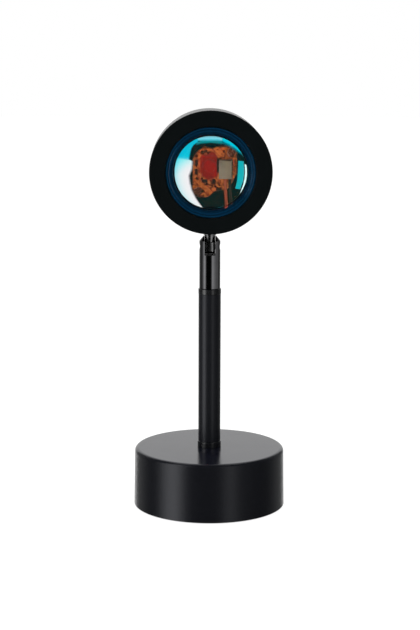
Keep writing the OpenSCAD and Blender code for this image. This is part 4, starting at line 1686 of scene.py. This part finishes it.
@dataclass
class Studio:
    """Plain pale floor and room, soft lamps, and cards for the mirrors."""

    lens: Lens
    eye: Vector
    room: float = 1.0
    soft: float = 0.35
    floor_radius: float = 6.0
    floor_light: float = 4.2
    floor_spread: float = 70.0
    floor_white: float = 0.8
    bowl: float = 2.4

    def world(self) -> None:
        """Makes the white room: full for the eye, mirrors and glass, softer as a lamp."""
        world = bpy.data.worlds.new("room")
        bpy.context.scene.world = world
        world.use_nodes = True
        tree = world.node_tree
        tree.nodes.clear()
        path = tree.nodes.new("ShaderNodeLightPath")
        seen = path.outputs["Is Camera Ray"]
        for name in ("Is Glossy Ray", "Is Transmission Ray"):
            wider = tree.nodes.new("ShaderNodeMath")
            wider.operation = "MAXIMUM"
            tree.links.new(seen, wider.inputs[0])
            tree.links.new(path.outputs[name], wider.inputs[1])
            seen = wider.outputs[0]
        amount = tree.nodes.new("ShaderNodeMapRange")
        tree.links.new(seen, amount.inputs["Value"])
        amount.inputs["To Min"].default_value = self.soft
        amount.inputs["To Max"].default_value = self.room
        light = tree.nodes.new("ShaderNodeBackground")
        light.inputs["Color"].default_value = (1, 1, 1, 1)
        tree.links.new(amount.outputs[0], light.inputs["Strength"])
        out = tree.nodes.new("ShaderNodeOutputWorld")
        tree.links.new(light.outputs[0], out.inputs[0])
        world.cycles.sampling_method = "NONE"

    def floor(self) -> None:
        """Makes the pale floor, lit by itself to white, which keeps the lamp's shadow."""
        shape = bmesh.new()
        bmesh.ops.create_circle(shape, cap_ends=True, radius=self.floor_radius, segments=96)
        mesh = bpy.data.meshes.new("floor")
        shape.to_mesh(mesh)
        shape.free()
        sheet = Sheet("pale_floor")
        path = sheet.add("ShaderNodeLightPath", {}, {})
        seen = Val(sheet, path.outputs["Is Camera Ray"]) | Val(sheet, path.outputs["Is Transmission Ray"])
        paint = sheet.mixed(seen, (0.25, 0.25, 0.25), (0.85, 0.85, 0.85))
        matt = sheet.node("ShaderNodeBsdfDiffuse", {}, {"Color": paint})
        white = sheet.node("ShaderNodeEmission", {}, {"Color": (1.0, 1.0, 1.0), "Strength": 1.0})
        share = seen * self.floor_white
        shown = sheet.node("ShaderNodeMixShader", {}, {0: share, 1: matt, 2: white})
        mesh.materials.append(sheet.shown(shown.socket))
        floor = show(bpy.data.objects.new("floor", mesh))
        floor.visible_glossy = False
        floor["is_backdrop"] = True
        floor_only = bpy.data.collections.new("floor_only")
        floor_only.objects.link(floor)
        light = new_lamp("SUN", "floor_light", self.floor_light)
        light.data.angle = math.radians(self.floor_spread)
        light.light_linking.receiver_collection = floor_only

    def soft_lamps(self) -> None:
        """Makes the soft lamps for matt surfaces; mirrors see the cards instead."""
        aim = Vector((0, 0, 0.13))
        for name, at, size, power in (
            ("key_left", (-1.1, -0.9, 0.9), 0.9, 11.0),
            ("fill_right", (1.2, -0.7, 0.6), 0.9, 4.5), ("top", (0.0, 0.2, 1.5), 1.2, 9.0),
        ):
            lamp = new_lamp("AREA", name, power)
            lamp.data.shape = "DISK"
            lamp.data.size = size
            lamp.location = at
            lamp.rotation_euler = (aim - Vector(at)).to_track_quat("-Z", "Y").to_euler()

    def chamber_lamps(self) -> None:
        """Makes the small lamps inside the head that light the board behind the lens."""
        for name, at, power in (
            ("chamber_left", (-13.0, 13.0, 19.0), 0.034),
            ("chamber_right", (12.0, -9.0, 19.0), 0.018),
        ):
            lamp = new_lamp("POINT", name, power)
            lamp.data.shadow_soft_size = 3 * MM
            lamp.location = (set_on(Axis.HEAD, self.lens.axis_z) @ Vector(at)) * MM
            lamp.visible_transmission = False
            lamp.visible_camera = False
            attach(lamp, Body.HEAD.value)

    def room_cards(self) -> list[Card]:
        """Makes the dark front, which keeps black surfaces black, and its two wings."""
        middle = Vector((0, 0, 0.15))

        def dark(_: float, __: float) -> Colour:
            """Gives the dark cards' faint light."""
            return level(0.025, (0.9, 1.0, 0.92))

        bowl = []
        rows, columns = 12, 48
        for i in range(1, rows + 1):
            off = math.radians(90 * i / rows)
            row = []
            for j in range(columns + 1):
                turn = 2 * math.pi * j / columns
                across, up = math.sin(off) * math.sin(turn), math.sin(off) * math.cos(turn)
                row.append(middle + self.bowl * Vector((across, -math.cos(off), up)))
            bowl.append(row)
        grids = {
            "dark_front": bowl,
            "dark_middle": sky_grid(middle, 2.3, (-12, 12), (-12, 12), 6, 6),
            "dark_left_wing": sky_grid(middle, 2.2, (-150, -80), (-70, 60)),
            "dark_right_wing": sky_grid(middle, 2.2, (84, 152), (-70, 60)),
        }
        return [Card(name, grid, dark, blocks=True) for name, grid in grids.items()]

    def body_cards(self) -> list[Card]:
        """Makes the long soft cards that stripe the joint, the stem and the base."""
        middle = Vector((0, 0, 0.14))
        turns = (-150.0, 150.0)

        def ring(name: str, away: float, stops: Sequence[Spot], seen_by: Receiver) -> Card:
            """Makes a card all round whose light follows the stops (turn, light)."""

            def glow(u: float, v: float) -> Colour:
                """Gives the light at one place of the ring."""
                at = turns[0] + u * (turns[1] - turns[0])
                return level(between(stops, at) * smooth(0, 0.2, v) * smooth(1, 0.8, v))

            grid = sky_grid(middle, away, turns, (-62, 56), 14, 151)
            return Card(name, grid, glow, seen_by=seen_by)

        paint = [
            (-150, 0.2), (-125, 0.2), (-110, 0.08), (-98, 0.03), (-88, 0.05), (-80, 0.3), (-72, 1.0),
            (-62, 1.6), (-54, 1.8), (-47, 1.3), (-40, 0.4), (-32, 0.05), (14, 0.03), (22, 0.3),
            (30, 0.65), (38, 0.4), (46, 0.12), (62, 0.08), (76, 0.03), (96, 0.03), (108, 0.08),
            (120, 0.16), (150, 0.2),
        ]
        joint = [
            (-150, 0.3), (-110, 0.3), (-100, 0.2), (-86, 0.7), (-72, 2.4), (-60, 4.4), (-50, 3.0),
            (-43, 0.6), (-38, 0.0), (13, 0.0), (19, 0.9), (29, 3.9), (40, 2.8), (55, 1.9),
            (68, 1.4), (81, 1.1), (100, 1.0), (107, 0.4), (114, 0.2), (150, 0.2),
        ]
        return [
            ring("paint_cards", 1.6, paint, Receiver.PAINT),
            ring("joint_cards", 1.8, joint, Receiver.JOINT),
        ]

    def dome_cards(self) -> list[Card]:
        """Makes the cards whose images lie on the dome.

        Their outlines are in millimetres across and up from the middle of the dome.
        """
        mirror = DomeMirror(self.lens, self.eye)

        def window(u: float, v: float) -> Colour:
            """Gives the big softbox its light: white below, cyan on top and at its outer edge."""
            white = smooth(0.29 + 0.03 * u, 0.47 + 0.18 * u, v) * (1 - 0.75 * u**3)
            share = smooth(0, 0.06, u) * (0.9 + 0.1 * smooth(0.1, 0.4, v))
            low = 1 - smooth(0.3, 0.45, v)
            return (
                share * 76 * white, share * (1.62 - 0.4 * u**6 - 0.6 * low),
                share * (1.5 - 0.2 * u**6 - 0.28 * low),
            )

        def top(u: float, v: float) -> Colour:
            """Gives the small top card its light, cyan below and grey above."""
            mid = between([(0, 0.5), (0.15, 0.9), (0.42, 1.35), (0.7, 0.72), (1, 0.42)], u)
            return between([(0, 0.4), (0.28, 9), (0.42, 19), (0.7, 13), (1, 11)], u), mid, mid * 1.1

        def band(u: float, v: float) -> Colour:
            """Gives the dim band below the top card its light."""
            return 0.0, 0.5 * smooth(0, 0.8, u), 0.5 * smooth(0, 0.8, u)

        def teal(u: float, v: float) -> Colour:
            """Gives the right card its light."""
            return 0.1 + 4 * smooth(0.8, 0.95, u), 0.77, 0.78

        def crescent(u: float, v: float) -> Colour:
            """Gives the bright line on the right its light."""
            return 66.0, 2.0, 1.75

        def arc(u: float, v: float) -> Colour:
            """Gives the upper right arc its light."""
            share = 0.2 + 0.8 * smooth(0.2, 0.6, u)
            return 0.0, 1.08 * share, 1.25 * share

        shapes = [
            (
                "dome_window",
                [
                    (-8.0, 18.9), (-10.7, 17.2), (-12.0, 14.9), (-12.6, 11.9), (-13.1, 8.6),
                    (-10.8, 7.6), (-11.2, 2.8), (-12.9, -1.2), (-12.4, -5.6), (-11.1, -10.6),
                    (-8.7, -15.6), (-5.9, -19.9), (-3.8, -22.6),
                ],
                [
                    (-8.2, 22.8), (-12.0, 20.7), (-15.5, 18.1), (-18.8, 14.3), (-21.0, 10.0),
                    (-21.4, 8.9), (-22.9, 3.6), (-23.4, -1.4), (-22.7, -6.0), (-20.9, -11.0),
                    (-18.0, -15.4), (-13.0, -19.8), (-7.8, -22.8),
                ],
                window,
            ),
            (
                "dome_top_card",
                [(-8.0, 19.7), (-4.3, 19.8), (0.0, 19.8), (3.7, 19.8), (6.8, 19.6)],
                [(-8.2, 22.4), (-4.4, 23.5), (0.0, 23.8), (3.8, 23.6), (7.2, 22.4)], top,
            ),
            (
                "dome_band", [(-9.6, 16.6), (-6.0, 17.8), (0.0, 18.4), (7.0, 17.4)],
                [(-8.2, 19.2), (-6.0, 19.7), (0.0, 19.8), (6.8, 19.6)], band,
            ),
            (
                "dome_teal_card", [(16.8, 7.8), (16.6, 0.7), (16.1, -4.8), (15.0, -9.3)],
                [(20.2, 7.3), (20.6, 0.5), (19.9, -4.9), (18.1, -9.9)], teal,
            ),
            (
                "dome_crescent",
                [(20.8, 5.6), (21.2, 1.8), (21.0, -2.0), (20.2, -6.5), (18.7, -11.0), (17.4, -14.4)],
                [(22.8, 4.8), (23.5, 1.3), (23.4, -2.5), (22.4, -6.4), (20.8, -10.2), (17.8, -14.6)],
                crescent,
            ),
            (
                "dome_arc",
                [(6.9, 18.4), (10.6, 16.6), (14.0, 14.5), (16.1, 13.1), (18.9, 11.3), (21.0, 8.9)],
                [(7.2, 22.0), (11.5, 19.9), (15.8, 16.9), (17.8, 15.1), (20.0, 12.4), (22.0, 8.8)],
                arc,
            ),
        ]
        return [
            Card(name, mirror.grid(inner, outer), glow, seen_by=Receiver.LENS)
            for name, inner, outer, glow in shapes
        ]

    def build(self) -> None:
        """Makes the room, lamps and cards."""
        self.world()
        self.floor()
        self.soft_lamps()
        self.chamber_lamps()
        receivers = {kind: bpy.data.collections.new("sees_" + kind.value) for kind in Receiver}
        special = {
            "polished_dome_lens": Receiver.LENS,
            "milled_joint_fork": Receiver.JOINT,
            "turned_joint_tongue": Receiver.JOINT,
            "pivot_screws": Receiver.JOINT,
        }
        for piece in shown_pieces():
            receivers[special.get(piece.name, Receiver.PAINT)].objects.link(piece)
        for card in self.room_cards() + self.body_cards() + self.dome_cards():
            card.build(receivers)
            LOG.info("card %s", card.name)


def main() -> None:
    """Builds the lamp's looks on its frame and the studio round it."""
    logging.basicConfig(level=logging.INFO, format="%(name)s %(message)s")
    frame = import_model()
    rig = CameraRig()
    rig.build()
    base, stem, knuckle, head, lens = Base(), Stem(), Knuckle(), Head(), Lens()
    palette = Palette(head.axis_z, base.height)
    base.build(palette)
    stem.build(palette)
    knuckle.build(palette)
    head.build(palette)
    lens.build(palette)
    BoardWork(head.axis_z).build(palette)
    InnerPieces(frame["nodes"], palette).build()
    Studio(lens, rig.spot()).build()
    bpy.context.scene.view_settings.view_transform = "Standard"
    LOG.info("the lamp is dressed")


if __name__ == "__main__":
    main()
